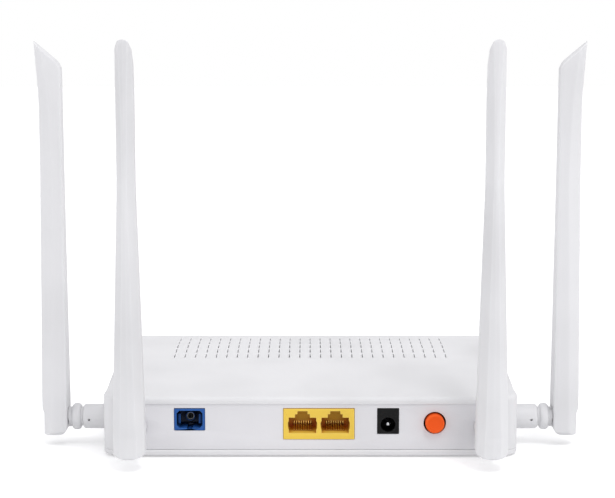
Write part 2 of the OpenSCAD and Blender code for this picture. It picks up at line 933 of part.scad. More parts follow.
// the dipole inside a blade: cable end, brass sleeve and wire
module radiator() {
    color(gold_colour)
    translate([pin_k, 0, 0])
        union() {
            translate([0, 0, 5])
                cylinder(r = 0.6, h = 50);
            translate([0, 0, 54])
                cylinder(r = 1.8, h = 30);
            translate([0, 0, 83])
                cylinder(r = 0.6, h = 60);
        }
}

// a point of the cubic curve with the four control points p, at t
function curve(p, t) =
    p[0] * pow(1 - t, 3) + p[1] * 3 * t * pow(1 - t, 2) + p[2] * 3 * t * t * (1 - t) + p[3] * pow(t, 3);

// the direction of that curve at t
function heading(p, t) =
    let (d = (p[1] - p[0]) * pow(1 - t, 2) + (p[2] - p[1]) * 2 * t * (1 - t) + (p[3] - p[2]) * t * t)
    d / norm(d);

// a cable from start, leaving along way, that arrives at end from below
module cable(start, way, end) {
    steps = 18;
    sides = 12;
    slack = 16;
    drop = 9;
    p = [start, start + way * slack, end - [0, 0, drop], end];
    across = cross(way, [0, 0, 1]);
    rings = [
        for (i = [0:steps], j = [0:sides - 1])
            let (t = i / steps, a = 360 * j / sides, d = heading(p, t))
            let (w = cross(d, across), u = w / norm(w), v = cross(d, u))
            curve(p, t) + cable_r * (u * cos(a) + v * sin(a))
    ];
    polyhedron(rings, concat(
        [[for (j = [0:sides - 1]) j]],
        [for (i = [0:steps - 1], j = [0:sides - 1])
            let (a = i * sides + j, b = i * sides + (j + 1) % sides)
            [a, a + sides, b + sides, b]],
        [[for (j = [sides - 1:-1:0]) steps * sides + j]]
    ));
}

// cable from a rear sleeve to the board, on side s
module rear_coax(s) {
    color([0.75, 0.75, 0.76])
        cable([s * rear_antenna_x, rear_y + 1.5, rear_swivel_z], [0, 1, 0],
            [s * cable_socket_x, cable_socket_ys[0], board_z - 0.9]);
}

// cable from a side sleeve to the board, on side s
module side_coax(s) {
    color([0.75, 0.75, 0.76])
        cable([s * (side_x - 0.5), rear_y + side_antenna_setback, swivel_z], [-s, 0, 0],
            [s * cable_socket_x, cable_socket_ys[1], board_z - 0.9]);
}

module rear_left_socket() {
    at_wall(REAR_LEFT)
        sleeve(REAR_LEFT[2]);
}

module rear_left_coax() {
    rear_coax(-1);
}

module rear_left_knuckle() {
    at_wall(REAR_LEFT)
        knuckle();
}

module rear_left_pin() {
    at_wall(REAR_LEFT)
        hinge_pin();
}

module rear_left_blade() {
    at_wall(REAR_LEFT)
        blade();
}

module rear_left_radiator() {
    at_wall(REAR_LEFT)
        radiator();
}

module rear_right_socket() {
    at_wall(REAR_RIGHT)
        sleeve(REAR_RIGHT[2]);
}

module rear_right_coax() {
    rear_coax(1);
}

module rear_right_knuckle() {
    at_wall(REAR_RIGHT)
        knuckle();
}

module rear_right_pin() {
    at_wall(REAR_RIGHT)
        hinge_pin();
}

module rear_right_blade() {
    at_wall(REAR_RIGHT)
        blade();
}

module rear_right_radiator() {
    at_wall(REAR_RIGHT)
        radiator();
}

module side_left_socket() {
    at_wall(SIDE_LEFT)
        sleeve(SIDE_LEFT[2]);
}

module side_left_coax() {
    side_coax(-1);
}

module side_left_knuckle() {
    at_wall(SIDE_LEFT)
        knuckle();
}

module side_left_pin() {
    at_wall(SIDE_LEFT)
        hinge_pin();
}

module side_left_blade() {
    at_wall(SIDE_LEFT)
        blade();
}

module side_left_radiator() {
    at_wall(SIDE_LEFT)
        radiator();
}

module side_right_socket() {
    at_wall(SIDE_RIGHT)
        sleeve(SIDE_RIGHT[2]);
}

module side_right_coax() {
    side_coax(1);
}

module side_right_knuckle() {
    at_wall(SIDE_RIGHT)
        knuckle();
}

module side_right_pin() {
    at_wall(SIDE_RIGHT)
        hinge_pin();
}

module side_right_blade() {
    at_wall(SIDE_RIGHT)
        blade();
}

module side_right_radiator() {
    at_wall(SIDE_RIGHT)
        radiator();
}

top_cover();
rear_panel();
bottom_shell();
rubber_feet();
case_screws();
board_screws();
main_board();
chips();
shield_cans();
heat_sink();
lan_transformers();
capacitors();
inductors();
cable_sockets();
led_lamps();
light_pipe();
sc_receptacle();
ferrule_sleeve();
optical_module();
lan_jack_housing();
lan_jack_contacts();
dc_jack_housing();
dc_jack_pin();
power_switch_body();
power_switch_plunger();
power_button();
reset_switch_body();
reset_plunger();
rear_left_socket();
rear_left_coax();
rear_left_knuckle();
rear_left_pin();
rear_left_blade();
rear_left_radiator();
rear_right_socket();
rear_right_coax();
rear_right_knuckle();
rear_right_pin();
rear_right_blade();
rear_right_radiator();
side_left_socket();
side_left_coax();
side_left_knuckle();
side_left_pin();
side_left_blade();
side_left_radiator();
side_right_socket();
side_right_coax();
side_right_knuckle();
side_right_pin();
side_right_blade();
side_right_radiator();
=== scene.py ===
import json
import math

import bmesh
import bpy
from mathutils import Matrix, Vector


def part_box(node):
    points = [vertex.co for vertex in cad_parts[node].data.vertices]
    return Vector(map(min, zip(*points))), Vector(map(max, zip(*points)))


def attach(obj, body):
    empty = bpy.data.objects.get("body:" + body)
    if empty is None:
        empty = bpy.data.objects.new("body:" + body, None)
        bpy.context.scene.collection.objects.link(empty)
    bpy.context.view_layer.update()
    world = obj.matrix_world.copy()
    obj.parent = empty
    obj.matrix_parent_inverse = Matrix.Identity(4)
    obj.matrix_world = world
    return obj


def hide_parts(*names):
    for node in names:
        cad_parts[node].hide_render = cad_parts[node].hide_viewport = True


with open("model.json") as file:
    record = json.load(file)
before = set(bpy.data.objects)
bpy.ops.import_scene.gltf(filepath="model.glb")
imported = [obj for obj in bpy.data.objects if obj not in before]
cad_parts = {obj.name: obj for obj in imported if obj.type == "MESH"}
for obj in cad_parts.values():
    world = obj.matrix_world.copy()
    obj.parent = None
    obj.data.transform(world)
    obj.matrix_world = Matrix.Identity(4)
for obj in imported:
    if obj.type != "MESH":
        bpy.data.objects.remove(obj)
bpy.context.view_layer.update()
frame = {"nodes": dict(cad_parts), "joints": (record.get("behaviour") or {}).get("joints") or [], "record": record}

MM = 0.001

# ---------------------------------------------------------------- sizes in mm, mostly from the frame

def node_box(node):
    """Lowest and highest corner of a CAD node, in mm."""
    low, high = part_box(node)
    return low / MM, high / MM


COVER_LOW, COVER_HIGH = node_box("top_cover")
PANEL_LOW, PANEL_HIGH = node_box("rear_panel")
SHELL_LOW = node_box("bottom_shell")[0]
HALF_W = COVER_HIGH.x
REAR_Y = COVER_LOW.y
FRONT_Y = COVER_HIGH.y
SEAM_HIGH = COVER_LOW.z
WALL = 2.0
CORNER_R = 8.0
SLEEVE_WAY_R = 5.45
SOLDER_GAP = 0.05
CASE_SCREWS = [(s * x, y) for s in (-1, 1) for x, y in ((77, FRONT_Y - 11), (80.5, REAR_Y + 13))]
BOARD_SCREWS = [(s * 66.5, y) for s in (-1, 1) for y in (-20, 38)]
JOINTS = {j["name"]: j for j in frame["joints"]}


def joint_point(name):
    """A joint's position, in mm."""
    return Vector(JOINTS[name]["pos_m"]) / MM


# ---------------------------------------------------------------- mesh helpers

SHADING_ANGLE = 32


def new_piece(name, verts, faces):
    """A mesh object from points in mm."""
    mesh = bpy.data.meshes.new(name)
    mesh.from_pydata([Vector(v) * MM for v in verts], [], faces)
    mesh.validate()
    obj = bpy.data.objects.new(name, mesh)
    bpy.context.scene.collection.objects.link(obj)
    return obj


def solid(name, part):
    """A closed mesh object from one (verts, faces) part: coinciding points welded, faces turned out."""
    obj = new_piece(name, *part)
    weld_distance = 1e-5
    bm = bmesh.new()
    bm.from_mesh(obj.data)
    bmesh.ops.remove_doubles(bm, verts=bm.verts, dist=weld_distance)
    bmesh.ops.recalc_face_normals(bm, faces=bm.faces)
    bm.to_mesh(obj.data)
    bm.free()
    return obj


def modifier(obj, kind, **settings):
    m = obj.modifiers.new(kind.lower(), kind)
    for key, value in settings.items():
        setattr(m, key, value)


def bevel(obj, width, segments=2, angle=50):
    """Rounds the edges sharper than angle."""
    modifier(obj, "BEVEL", width=width * MM, segments=segments, limit_method="ANGLE",
             angle_limit=math.radians(angle), use_clamp_overlap=True, miter_outer="MITER_ARC")


def cut(obj, part):
    """Takes a (verts, faces) part out of obj, exactly. The next bake() removes the cutter."""
    modifier(obj, "BOOLEAN", operation="DIFFERENCE", solver="EXACT", object=solid("cutter", part))


def bake(obj, angle=SHADING_ANGLE):
    """Puts the modifiers' result into the mesh, and shades it smooth except at its edges."""
    bpy.context.view_layer.update()
    graph = bpy.context.evaluated_depsgraph_get()
    mesh = bpy.data.meshes.new_from_object(obj.evaluated_get(graph))
    cutters = [m.object for m in obj.modifiers if m.type == "BOOLEAN"]
    obj.modifiers.clear()
    obj.data = mesh
    mesh.shade_smooth()
    mesh.set_sharp_from_angle(angle=math.radians(angle))
    for cutter in cutters:
        bpy.data.objects.remove(cutter)
    return obj


def eased(obj, width, segments=2, angle=SHADING_ANGLE):
    """Bakes what is cut out of obj, then rounds its edges."""
    bake(obj, angle)
    bevel(obj, width, segments)
    return bake(obj, angle)


def joined(parts):
    """One (verts, faces) part out of several."""
    verts, faces = [], []
    for part_verts, part_faces in parts:
        base = len(verts)
        verts += [tuple(v) for v in part_verts]
        faces += [[i + base for i in f] for f in part_faces]
    return verts, faces


def box_part(low, high):
    x0, y0, z0 = low
    x1, y1, z1 = high
    verts = [(x, y, z) for z in (z0, z1) for y in (y0, y1) for x in (x0, x1)]
    faces = [[0, 2, 3, 1], [4, 5, 7, 6], [0, 1, 5, 4], [2, 6, 7, 3], [0, 4, 6, 2], [1, 3, 7, 5]]
    return verts, faces


def bands(rings, n):
    """The faces between rings of n points each."""
    return [[i * n + j, i * n + (j + 1) % n, (i + 1) * n + (j + 1) % n, (i + 1) * n + j]
            for i in range(rings - 1) for j in range(n)]


def ends(rings, n):
    """The two faces that close a stack of rings."""
    return [list(range(n))[::-1], list(range((rings - 1) * n, rings * n))]


def prism_part(outline, start, end, place):
    """A closed prism: outline is a list of (a, b), and place(a, b, c) gives the point at depth c."""
    n = len(outline)
    verts = [place(a, b, c) for c in (start, end) for a, b in outline]
    return verts, bands(2, n) + ends(2, n)


def lathe_closed(profile, place, sides=64, ring=False):
    """A turned shape from (radius, depth) points: closed by two ends, or on itself when it is a ring."""
    verts = []
    for radius, depth in profile:
        for j in range(sides):
            a = 2 * math.pi * j / sides
            verts.append(place(radius * math.cos(a), radius * math.sin(a), depth))
    rings = len(profile)
    faces = bands(rings, sides)
    if ring:
        last = (rings - 1) * sides
        faces += [[last + j, last + (j + 1) % sides, (j + 1) % sides, j] for j in range(sides)]
    else:
        faces += ends(rings, sides)
    return verts, faces


def rod(r, start, end, place, sides):
    """A straight round bar, to cut a bore with."""
    return lathe_closed([(r, start), (r, end)], place, sides)


def circle(r, n=48, a0=0.0, a1=360.0, cx=0.0, cy=0.0):
    """Points of an arc, or of a whole circle."""
    whole = abs(a1 - a0) >= 360
    steps = n if whole else n - 1
    return [(cx + r * math.cos(math.radians(a0 + (a1 - a0) * i / steps)),
             cy + r * math.sin(math.radians(a0 + (a1 - a0) * i / steps))) for i in range(n)]


def fillet(corners, segments=5):
    """A polygon with rounded corners: corners is a list of (x, y, radius)."""
    out = []
    n = len(corners)
    for i, (x, y, r) in enumerate(corners):
        p = Vector((x, y))
        a = (Vector(corners[i - 1][:2]) - p).normalized()
        b = (Vector(corners[(i + 1) % n][:2]) - p).normalized()
        half = math.acos(max(-1, min(1, a.dot(b)))) / 2
        if r <= 0 or half > math.pi / 2 - 1e-3:
            out += [tuple(p)] * (segments + 1)
            continue
        reach = r / math.tan(half)
        centre = p + (a + b).normalized() * (r / math.sin(half))
        start, end = p + a * reach - centre, p + b * reach - centre
        turn = start.angle_signed(end)
        for k in range(segments + 1):
            c, s = math.cos(-turn * k / segments), math.sin(-turn * k / segments)
            q = Vector((start.x * c - start.y * s, start.x * s + start.y * c))
            out.append(tuple(centre + q))
    return out


# ---------------------------------------------------------------- materials

def link(tree, a, b):
    tree.links.new(a, b)


def add(tree, kind, **values):
    """A shader node, with its inputs or its settings given by name."""
    node = tree.nodes.new(kind)
    for key, value in values.items():
        if key in node.inputs:
            node.inputs[key].default_value = value
        else:
            setattr(node, key, value)
    return node


def put(node, values):
    """Sets a node's inputs, given by their names."""
    for name, value in values.items():
        node.inputs[name].default_value = value


def shader(name):
    """A new material, its nodes, its surface and its object coordinates."""
    mat = bpy.data.materials.new(name)
    mat.use_nodes = True
    tree = mat.node_tree
    principled = next(n for n in tree.nodes if n.type == "BSDF_PRINCIPLED")
    return mat, tree, principled, add(tree, "ShaderNodeTexCoord").outputs["Object"]


def noise(tree, coords, scale, detail=3.0, rough=0.5):
    n = add(tree, "ShaderNodeTexNoise", Scale=scale, Detail=detail, Roughness=rough)
    link(tree, coords, n.inputs["Vector"])
    return n.outputs["Fac"]


def ramp(tree, value, low, high, out_low, out_high):
    """Maps value from low..high to out_low..out_high, clamped."""
    n = add(tree, "ShaderNodeMapRange")
    put(n, {"From Min": low, "From Max": high, "To Min": out_low, "To Max": out_high})
    link(tree, value, n.inputs["Value"])
    return n.outputs["Result"]


def tint(tree, colour, factor_socket, other):
    """Mixes colour, which is a value or a socket, towards other by a socket's value."""
    n = add(tree, "ShaderNodeMix", data_type="RGBA")
    if isinstance(colour, tuple):
        n.inputs["A"].default_value = (*colour, 1)
    else:
        link(tree, colour, n.inputs["A"])
    n.inputs["B"].default_value = (*other, 1)
    link(tree, factor_socket, n.inputs["Factor"])
    return n.outputs["Result"]


def edge_mask(tree, radius):
    """1 along convex and concave edges, 0 on flat ground."""
    low, high = 0.0005, 0.02
    soft = add(tree, "ShaderNodeBevel", samples=4, Radius=radius)
    geo = add(tree, "ShaderNodeNewGeometry")
    dot = add(tree, "ShaderNodeVectorMath", operation="DOT_PRODUCT")
    link(tree, soft.outputs["Normal"], dot.inputs[0])
    link(tree, geo.outputs["Normal"], dot.inputs[1])
    return ramp(tree, dot.outputs["Value"], 1 - low, 1 - high, 0.0, 1.0)


def bump_from(tree, height, out, strength, depth):
    """Lets height raise the surface by up to depth, in mm."""
    bump = add(tree, "ShaderNodeBump", Strength=strength, Distance=depth * MM)
    link(tree, height, bump.inputs["Height"])
    link(tree, bump.outputs["Normal"], out.inputs["Normal"])


def moulded(name, colour, rough=0.42, grain=2600, depth=0.012, edge=None, drift=0.03, specular=0.4,
            coat=0.0, painted_cavity_shade=None, painted_shade_reach=6.0, glow_through=0.0):
    """Moulded plastic: fine mould texture, slow drift in colour and gloss, painted highlights along edges, painted
    shade in hollows.
    """
    mat, tree, out, coords = shader(name)
    slow = noise(tree, coords, 22, 2)
    fine = noise(tree, coords, grain, 2, 0.6)
    darker = tuple(c * (1 - 3 * drift) for c in colour)
    base = tint(tree, colour, ramp(tree, slow, 0.42, 0.75, 0.0, 1.0), darker)
    base = tint(tree, base, ramp(tree, fine, 0.6, 0.85, 0.0, 0.25), darker)
    # painted highlight: edges, convex and concave alike, are lightened towards the edge colour
    if edge:
        base = tint(tree, base, edge_mask(tree, 0.0004), edge)
    # painted shade: where ambient occlusion finds hollows, the colour is darkened towards the cavity colour
    if painted_cavity_shade:
        open_sky = add(tree, "ShaderNodeAmbientOcclusion", samples=8, Distance=painted_shade_reach * MM)
        base = tint(tree, base, ramp(tree, open_sky.outputs["AO"], 0.35, 0.85, 1.0, 0.0), painted_cavity_shade)
    link(tree, base, out.inputs["Base Color"])
    link(tree, ramp(tree, slow, 0.3, 0.7, rough - 0.04, rough + 0.05), out.inputs["Roughness"])
    put(out, {"Specular IOR Level": specular, "Coat Weight": coat})
    if glow_through:
        put(out, {"Subsurface Weight": glow_through, "Subsurface Radius": (1.0, 1.0, 1.0)})
        put(out, {"Subsurface Scale": 0.8 * MM})
    bump_from(tree, fine, out, 0.35, depth)
    return mat


def metal(name, colour, rough, streak=(1, 1, 1)):
    """Metal with drawn or cast grain in its gloss."""
    mat, tree, out, coords = shader(name)
    stretch = add(tree, "ShaderNodeMapping", Scale=streak)
    link(tree, coords, stretch.inputs["Vector"])
    fine = noise(tree, stretch.outputs["Vector"], 900, 3)
    slow = noise(tree, coords, 60, 2)
    dull = tuple(c * 0.72 for c in colour)
    link(tree, tint(tree, colour, ramp(tree, slow, 0.45, 0.8, 0.0, 1.0), dull), out.inputs["Base Color"])
    link(tree, ramp(tree, fine, 0.3, 0.7, rough - 0.08, rough + 0.12), out.inputs["Roughness"])
    put(out, {"Metallic": 1.0})
    bump_from(tree, fine, out, 0.2, 0.01)
    return mat


def rubber():
    mat, tree, out, coords = shader("rubber_black")
    fine = noise(tree, coords, 1800, 4, 0.7)
    dust = noise(tree, coords, 140, 3)
    base = tint(tree, (0.02, 0.02, 0.021), ramp(tree, dust, 0.5, 0.8, 0.0, 0.6), (0.07, 0.068, 0.065))
    link(tree, base, out.inputs["Base Color"])
    put(out, {"Roughness": 0.8})
    bump_from(tree, fine, out, 0.5, 0.03)
    return mat


def board_green():
    """Solder mask with copper runs under it and gilt dots on it."""
    mat, tree, out, coords = shader("board_green")
    cells = add(tree, "ShaderNodeTexVoronoi", feature="DISTANCE_TO_EDGE", distance="MANHATTAN", Scale=330)
    link(tree, coords, cells.inputs["Vector"])
    runs = ramp(tree, cells.outputs["Distance"], 0.06, 0.1, 1.0, 0.0)
    base = tint(tree, (0.008, 0.075, 0.03), runs, (0.03, 0.18, 0.07))
    dots = add(tree, "ShaderNodeTexVoronoi", Scale=520)
    link(tree, coords, dots.inputs["Vector"])
    base = tint(tree, base, ramp(tree, dots.outputs["Distance"], 0.14, 0.18, 1.0, 0.0), (0.62, 0.47, 0.2))
    link(tree, base, out.inputs["Base Color"])
    put(out, {"Roughness": 0.3, "Coat Weight": 0.3})
    bump_from(tree, runs, out, 0.4, 0.03)
    return mat


def clear_plastic():
    mat, tree, out, coords = shader("clear_plastic")
    fine = noise(tree, coords, 900, 2)
    put(out, {"Base Color": (0.86, 0.92, 0.95, 1), "Transmission Weight": 0.85, "IOR": 1.49})
    link(tree, ramp(tree, fine, 0.3, 0.7, 0.08, 0.2), out.inputs["Roughness"])
    return mat


# the materials by their slots in the record
# the cavity colours below are painted shade, laid into hollows by ambient occlusion
# the edge colours below are painted highlights along edges
SLOT_MATERIALS = {
    "shell": moulded("shell_white", (0.765, 0.762, 0.775), 0.5, edge=(0.80, 0.80, 0.81), specular=0.3,
                     glow_through=0.4),
    "panel": moulded("panel_white", (0.735, 0.728, 0.752), 0.5, edge=(0.80, 0.80, 0.82), specular=0.3),
    "antenna": moulded("antenna_white", (0.75, 0.748, 0.762), 0.42, 2200, edge=(0.80, 0.80, 0.81),
                       specular=0.35, glow_through=0.4),
    "fibre_blue": moulded("fibre_blue", (0.018, 0.092, 0.34), 0.45, 2000, edge=(0.03, 0.13, 0.4),
                          drift=0.06, specular=0.25, painted_cavity_shade=(0.003, 0.012, 0.045)),
    "jack_yellow": moulded("jack_yellow", (0.84, 0.58, 0.085), 0.5, 2000, edge=(0.86, 0.64, 0.16),
                           drift=0.03, specular=0.2, painted_cavity_shade=(0.5, 0.11, 0.004), painted_shade_reach=5.0),
    "jack_black": moulded("jack_black", (0.009, 0.009, 0.0095), 0.6, 1800, edge=(0.02, 0.02, 0.022),
                          drift=0.1, specular=0.15, painted_cavity_shade=(0.001, 0.001, 0.001)),
    "button_orange": moulded("button_orange", (0.9, 0.098, 0.006), 0.5, 1600, edge=(0.93, 0.17, 0.03),
                             specular=0.2),
    "chip": moulded("chip_black", (0.02, 0.02, 0.022), 0.5, 1500, 0.02, edge=(0.06, 0.06, 0.06), drift=0.1),
    "ceramic": moulded("ceramic_white", (0.72, 0.71, 0.66), 0.2, 900, 0.004, coat=0.3,
                       painted_cavity_shade=(0.01, 0.014, 0.02)),
    "cable": moulded("cable_grey", (0.42, 0.42, 0.44), 0.5, 1200, 0.02),
    "capacitor": moulded("capacitor_sleeve", (0.05, 0.055, 0.09), 0.35, 1200, 0.01),
    "steel": metal("steel", (0.62, 0.63, 0.65), 0.28),
    "heat_sink": metal("aluminium", (0.72, 0.73, 0.75), 0.4, (1, 12, 1)),
    "gold": metal("gold_plate", (0.9, 0.62, 0.22), 0.22),
    "brass": metal("brass", (0.75, 0.53, 0.22), 0.3),
    "rubber": rubber(),
    "board": board_green(),
    "clear": clear_plastic(),
}


# ---------------------------------------------------------------- building up solids

def merged(name, objects, body, material):
    """One piece out of several finished ones."""
    bm = bmesh.new()
    for obj in objects:
        bm.from_mesh(obj.data)
    mesh = bpy.data.meshes.new(name)
    bm.to_mesh(mesh)
    bm.free()
    for obj in objects:
        bpy.data.objects.remove(obj)
    piece = bpy.data.objects.new(name, mesh)
    bpy.context.scene.collection.objects.link(piece)
    mesh.materials.clear()
    mesh.materials.append(material)
    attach(piece, body)
    return piece


def stand_in(node, objects, body, slot):
    """The visual piece that takes a CAD node's place."""
    piece = merged(node + "_visual", objects, body, SLOT_MATERIALS[slot])
    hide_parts(node)


def along_y(cx, cz):
    """Places a turned or extruded shape with its depth along +Y, centred at cx, cz."""
    return lambda a, b, depth: (cx + a, depth, cz + b)


def along_z(cx, cy):
    return lambda a, b, depth: (cx + a, cy + b, depth)


def box_outline(x0, x1, z0, z1, r=0.0):
    return fillet([(x0, z0, r), (x1, z0, r), (x1, z1, r), (x0, z1, r)], 4)


def plain(a, b, depth):
    return (a, depth, b)


# ---------------------------------------------------------------- top cover

ROOF_REAR = 26.0
ROOF_CROWN = ROOF_REAR + (COVER_HIGH.z - ROOF_REAR) * 49 / 48
CROWN_RUN = 0.85 * (FRONT_Y - REAR_Y)
FRONT_TOP = ROOF_CROWN - 0.8
LIP_LOW = PANEL_HIGH.z - 0.25
OPENING_HALF_W = 80.0
VENT_PITCH = (4.8, 9.8)
VENT_COUNT = (27, 5)
VENT_HALF_W = 0.26
VENT_STRAIGHT = 3.7 - VENT_HALF_W
VENT_MID_Y = 24.5
VENT_CORNER_Y = VENT_STRAIGHT + 1.2
VENT_XS = [(i - (VENT_COUNT[0] - 1) / 2) * VENT_PITCH[0] for i in range(VENT_COUNT[0])]
VENT_YS = [VENT_MID_Y + (j - (VENT_COUNT[1] - 1) / 2) * VENT_PITCH[1] for j in range(VENT_COUNT[1])]
LAMP_COUNT = 6
LAMP_PITCH = 10
LAMP_HOLE_R = 1.2
LIGHT_PIPE_R = 1.1
CASE_POST_LOW = 12.1
POST_R = 3.0
SCREW_WAY_R = 1.2
OVERLAP = 0.3

# the flat inside the cover's rounded border, the border's corners, and the rows of the wall below it
FLAT_X = HALF_W - CORNER_R
FLAT_REAR = REAR_Y + CORNER_R
FLAT_FRONT = FRONT_Y - CORNER_R
# where a rear corner passes the opening's upright edge
OPENING_ANGLE = 3.583
CORNER_ANGLES = [0, OPENING_ANGLE, 12, 24, 36, 48, 60, 72, 81, 90]
ARC_STEPS = 7
FIRST_WALL_ROW = ARC_STEPS + 3
WALL_MID = 8.6
WALL_ROWS = (LIP_LOW, WALL_MID, SEAM_HIGH)


def roof_height(y):
    """Height of the roof's outside: it climbs to a crown, then dips a little to the front edge."""
    turn = REAR_Y + CROWN_RUN * 6 / 7
    if y <= turn:
        u = max(0.0, (y - REAR_Y) / CROWN_RUN)
        return ROOF_REAR + (ROOF_CROWN - ROOF_REAR) * (1 - (1 - u) ** 2)
    end = FRONT_Y - 4.0
    high = COVER_HIGH.z
    s = min(1.0, (y - turn) / (end - turn))
    return high + (FRONT_TOP - high) * s * s * (3 - 2 * s)


def smooth(x, a, b):
    t = max(0.0, min(1.0, (x - a) / (b - a)))
    return t * t * (3 - 2 * t)


def edge_radius(y):
    """Radius of the cover's top edge at depth y."""
    return 1.6 + 1.9 * smooth(y, REAR_Y + 7, REAR_Y + 18) + 0.5 * smooth(y, FRONT_Y - 16, FRONT_Y - 6)


def grid_lines(low, high, step, fixed):
    """Values from low to high: the fixed ones, and even steps across the gaps between them."""
    stops = sorted({round(v, 4) for v in [low, high] + fixed})
    out = []
    for a, b in zip(stops, stops[1:]):
        n = max(1, round((b - a) / step))
        out += [a + (b - a) * i / n for i in range(n)]
    return out + [stops[-1]]


class Skin:
    """A surface whose points each have a place on the outside and one on the inside."""

    def __init__(self):
        self.points, self.index, self.faces = [], {}, []

    def vert(self, outside, inside):
        key = tuple(round(v, 3) for v in outside)
        if key not in self.index:
            self.index[key] = len(self.points)
            self.points.append((outside, inside))
        return self.index[key]

    def top(self, x, y):
        z = roof_height(y)
        return self.vert((x, y, z), (x, y, z - WALL))


def vent_field():
    """The range of x and of y that the vents' cells fill."""
    px, py = VENT_PITCH
    return (VENT_XS[0] - px / 2, VENT_XS[-1] + px / 2), (VENT_YS[0] - py / 2, VENT_YS[-1] + py / 2)


def flat_lines():
    """The flat's grid lines. In the vents' field they are the edges and corner points of its cells."""
    px, py = VENT_PITCH
    xs = [c + s * d for c in VENT_XS for s in (-1, 1) for d in (0, 1.0)] + [VENT_XS[0] - px / 2]
    xs += [c + px / 2 for c in VENT_XS]
    ys = [c + s * d for c in VENT_YS for s in (-1, 1) for d in (VENT_STRAIGHT, VENT_CORNER_Y)]
    ys += [VENT_YS[0] - py / 2] + [c + py / 2 for c in VENT_YS]
    low, high = vent_field()[1]
    lines_y = grid_lines(FLAT_REAR, FLAT_FRONT, 3.5, ys)
    lines_y = [y for y in lines_y if not (low < y < high) or any(abs(y - f) < 1e-3 for f in ys)]
    return grid_lines(-FLAT_X, FLAT_X, 5.0, xs), lines_y


def add_flat(skin, lines_x, lines_y):
    """The flat, with the vents' field left open."""
    field_x, field_y = vent_field()
    for y0, y1 in zip(lines_y, lines_y[1:]):
        for x0, x1 in zip(lines_x, lines_x[1:]):
            if field_x[0] < (x0 + x1) / 2 < field_x[1] and field_y[0] < (y0 + y1) / 2 < field_y[1]:
                continue
            skin.faces.append([skin.top(x0, y0), skin.top(x1, y0), skin.top(x1, y1), skin.top(x0, y1)])


def add_vents(skin):
    """Each vent is a ring of faces between its round-ended slot and its cell."""
    half_x, half_y = VENT_PITCH[0] / 2, VENT_PITCH[1] / 2
    quarter = [(0, (half_x, VENT_STRAIGHT)), (22.5, (half_x, VENT_CORNER_Y)), (45, (half_x, half_y)),
               (67.5, (1.0, half_y)), (90, (0.0, half_y))]
    half = quarter + [(180 - a, (-x, y)) for a, (x, y) in quarter[-2::-1]]
    for cx, cy in [(cx, cy) for cx in VENT_XS for cy in VENT_YS]:
        slot, cell = [], []
        for turn in (1, -1):
            for a, (x, y) in half:
                dx = VENT_HALF_W * math.cos(math.radians(a))
                dy = VENT_STRAIGHT + VENT_HALF_W * math.sin(math.radians(a))
                slot.append(skin.top(cx + turn * dx, cy + turn * dy))
                cell.append(skin.top(cx + turn * x, cy + turn * y))
        for i, k in enumerate(list(range(1, len(slot))) + [0]):
            skin.faces.append([cell[i], cell[k], slot[k], slot[i]])


def border_loop(lines_x, lines_y):
    """The flat's rim, anticlockwise from its rear left corner, as x, y and the way out from there."""
    turns = [(math.sin(math.radians(a)), math.cos(math.radians(a))) for a in CORNER_ANGLES]
    loop = [(x, FLAT_REAR, 0, -1) for x in lines_x]
    loop += [(FLAT_X, FLAT_REAR, s, -c) for s, c in turns[1:]]
    loop += [(FLAT_X, y, 1, 0) for y in lines_y[1:]]
    loop += [(FLAT_X, FLAT_FRONT, s, c) for s, c in turns[-2::-1]]
    loop += [(x, FLAT_FRONT, 0, 1) for x in lines_x[-2::-1]]
    loop += [(-FLAT_X, FLAT_FRONT, -s, c) for s, c in turns[1:]]
    loop += [(-FLAT_X, y, -1, 0) for y in lines_y[-2::-1]]
    return loop + [(-FLAT_X, FLAT_REAR, -s, -c) for s, c in turns[-2:0:-1]]


def border_vert(skin, node, row):
    """A point of the border: row 0 is the flat's rim, then the rounded edge, then the wall's rows."""
    x, y, dx, dy = node

    def moved(reach, z):
        return x + dx * reach, y + dy * reach, z

    if row == 0:
        return skin.top(x, y)
    if row >= FIRST_WALL_ROW:
        z = WALL_ROWS[row - FIRST_WALL_ROW]
        return skin.vert(moved(CORNER_R, z), moved(CORNER_R - WALL, z))
    radius = edge_radius(y + dy * CORNER_R)
    if row == 1:
        return skin.top(*moved(CORNER_R - (radius + CORNER_R) / 2, 0)[:2])
    inner_radius = max(radius - WALL, 0.4)
    phi = math.radians(90 * (1 - (row - 2) / ARC_STEPS))
    run, fall = 1 - math.cos(phi), 1 - math.sin(phi)
    crest = roof_height(y + dy * (CORNER_R - radius))
    return skin.vert(moved(CORNER_R - radius * run, crest - radius * fall),
                     moved(CORNER_R - (WALL + inner_radius * run), crest - WALL - inner_radius * fall))


def add_border(skin, loop):
    """The rounded edge and the walls, with the rear wall left open for its panel."""
    for i, b in enumerate(loop[1:] + loop[:1]):
        a = loop[i]
        mid_x = (a[0] + a[2] * CORNER_R + b[0] + b[2] * CORNER_R) / 2
        at_opening = a[3] < -0.99 and b[3] < -0.99 and abs(mid_x) < OPENING_HALF_W
        for row in range(FIRST_WALL_ROW if at_opening else FIRST_WALL_ROW + len(WALL_ROWS) - 1):
            quad = [border_vert(skin, a, row), border_vert(skin, a, row + 1),
                    border_vert(skin, b, row + 1), border_vert(skin, b, row)]
            face = [v for j, v in enumerate(quad) if v != quad[j - 1]]
            if len(face) > 2:
                skin.faces.append(face)


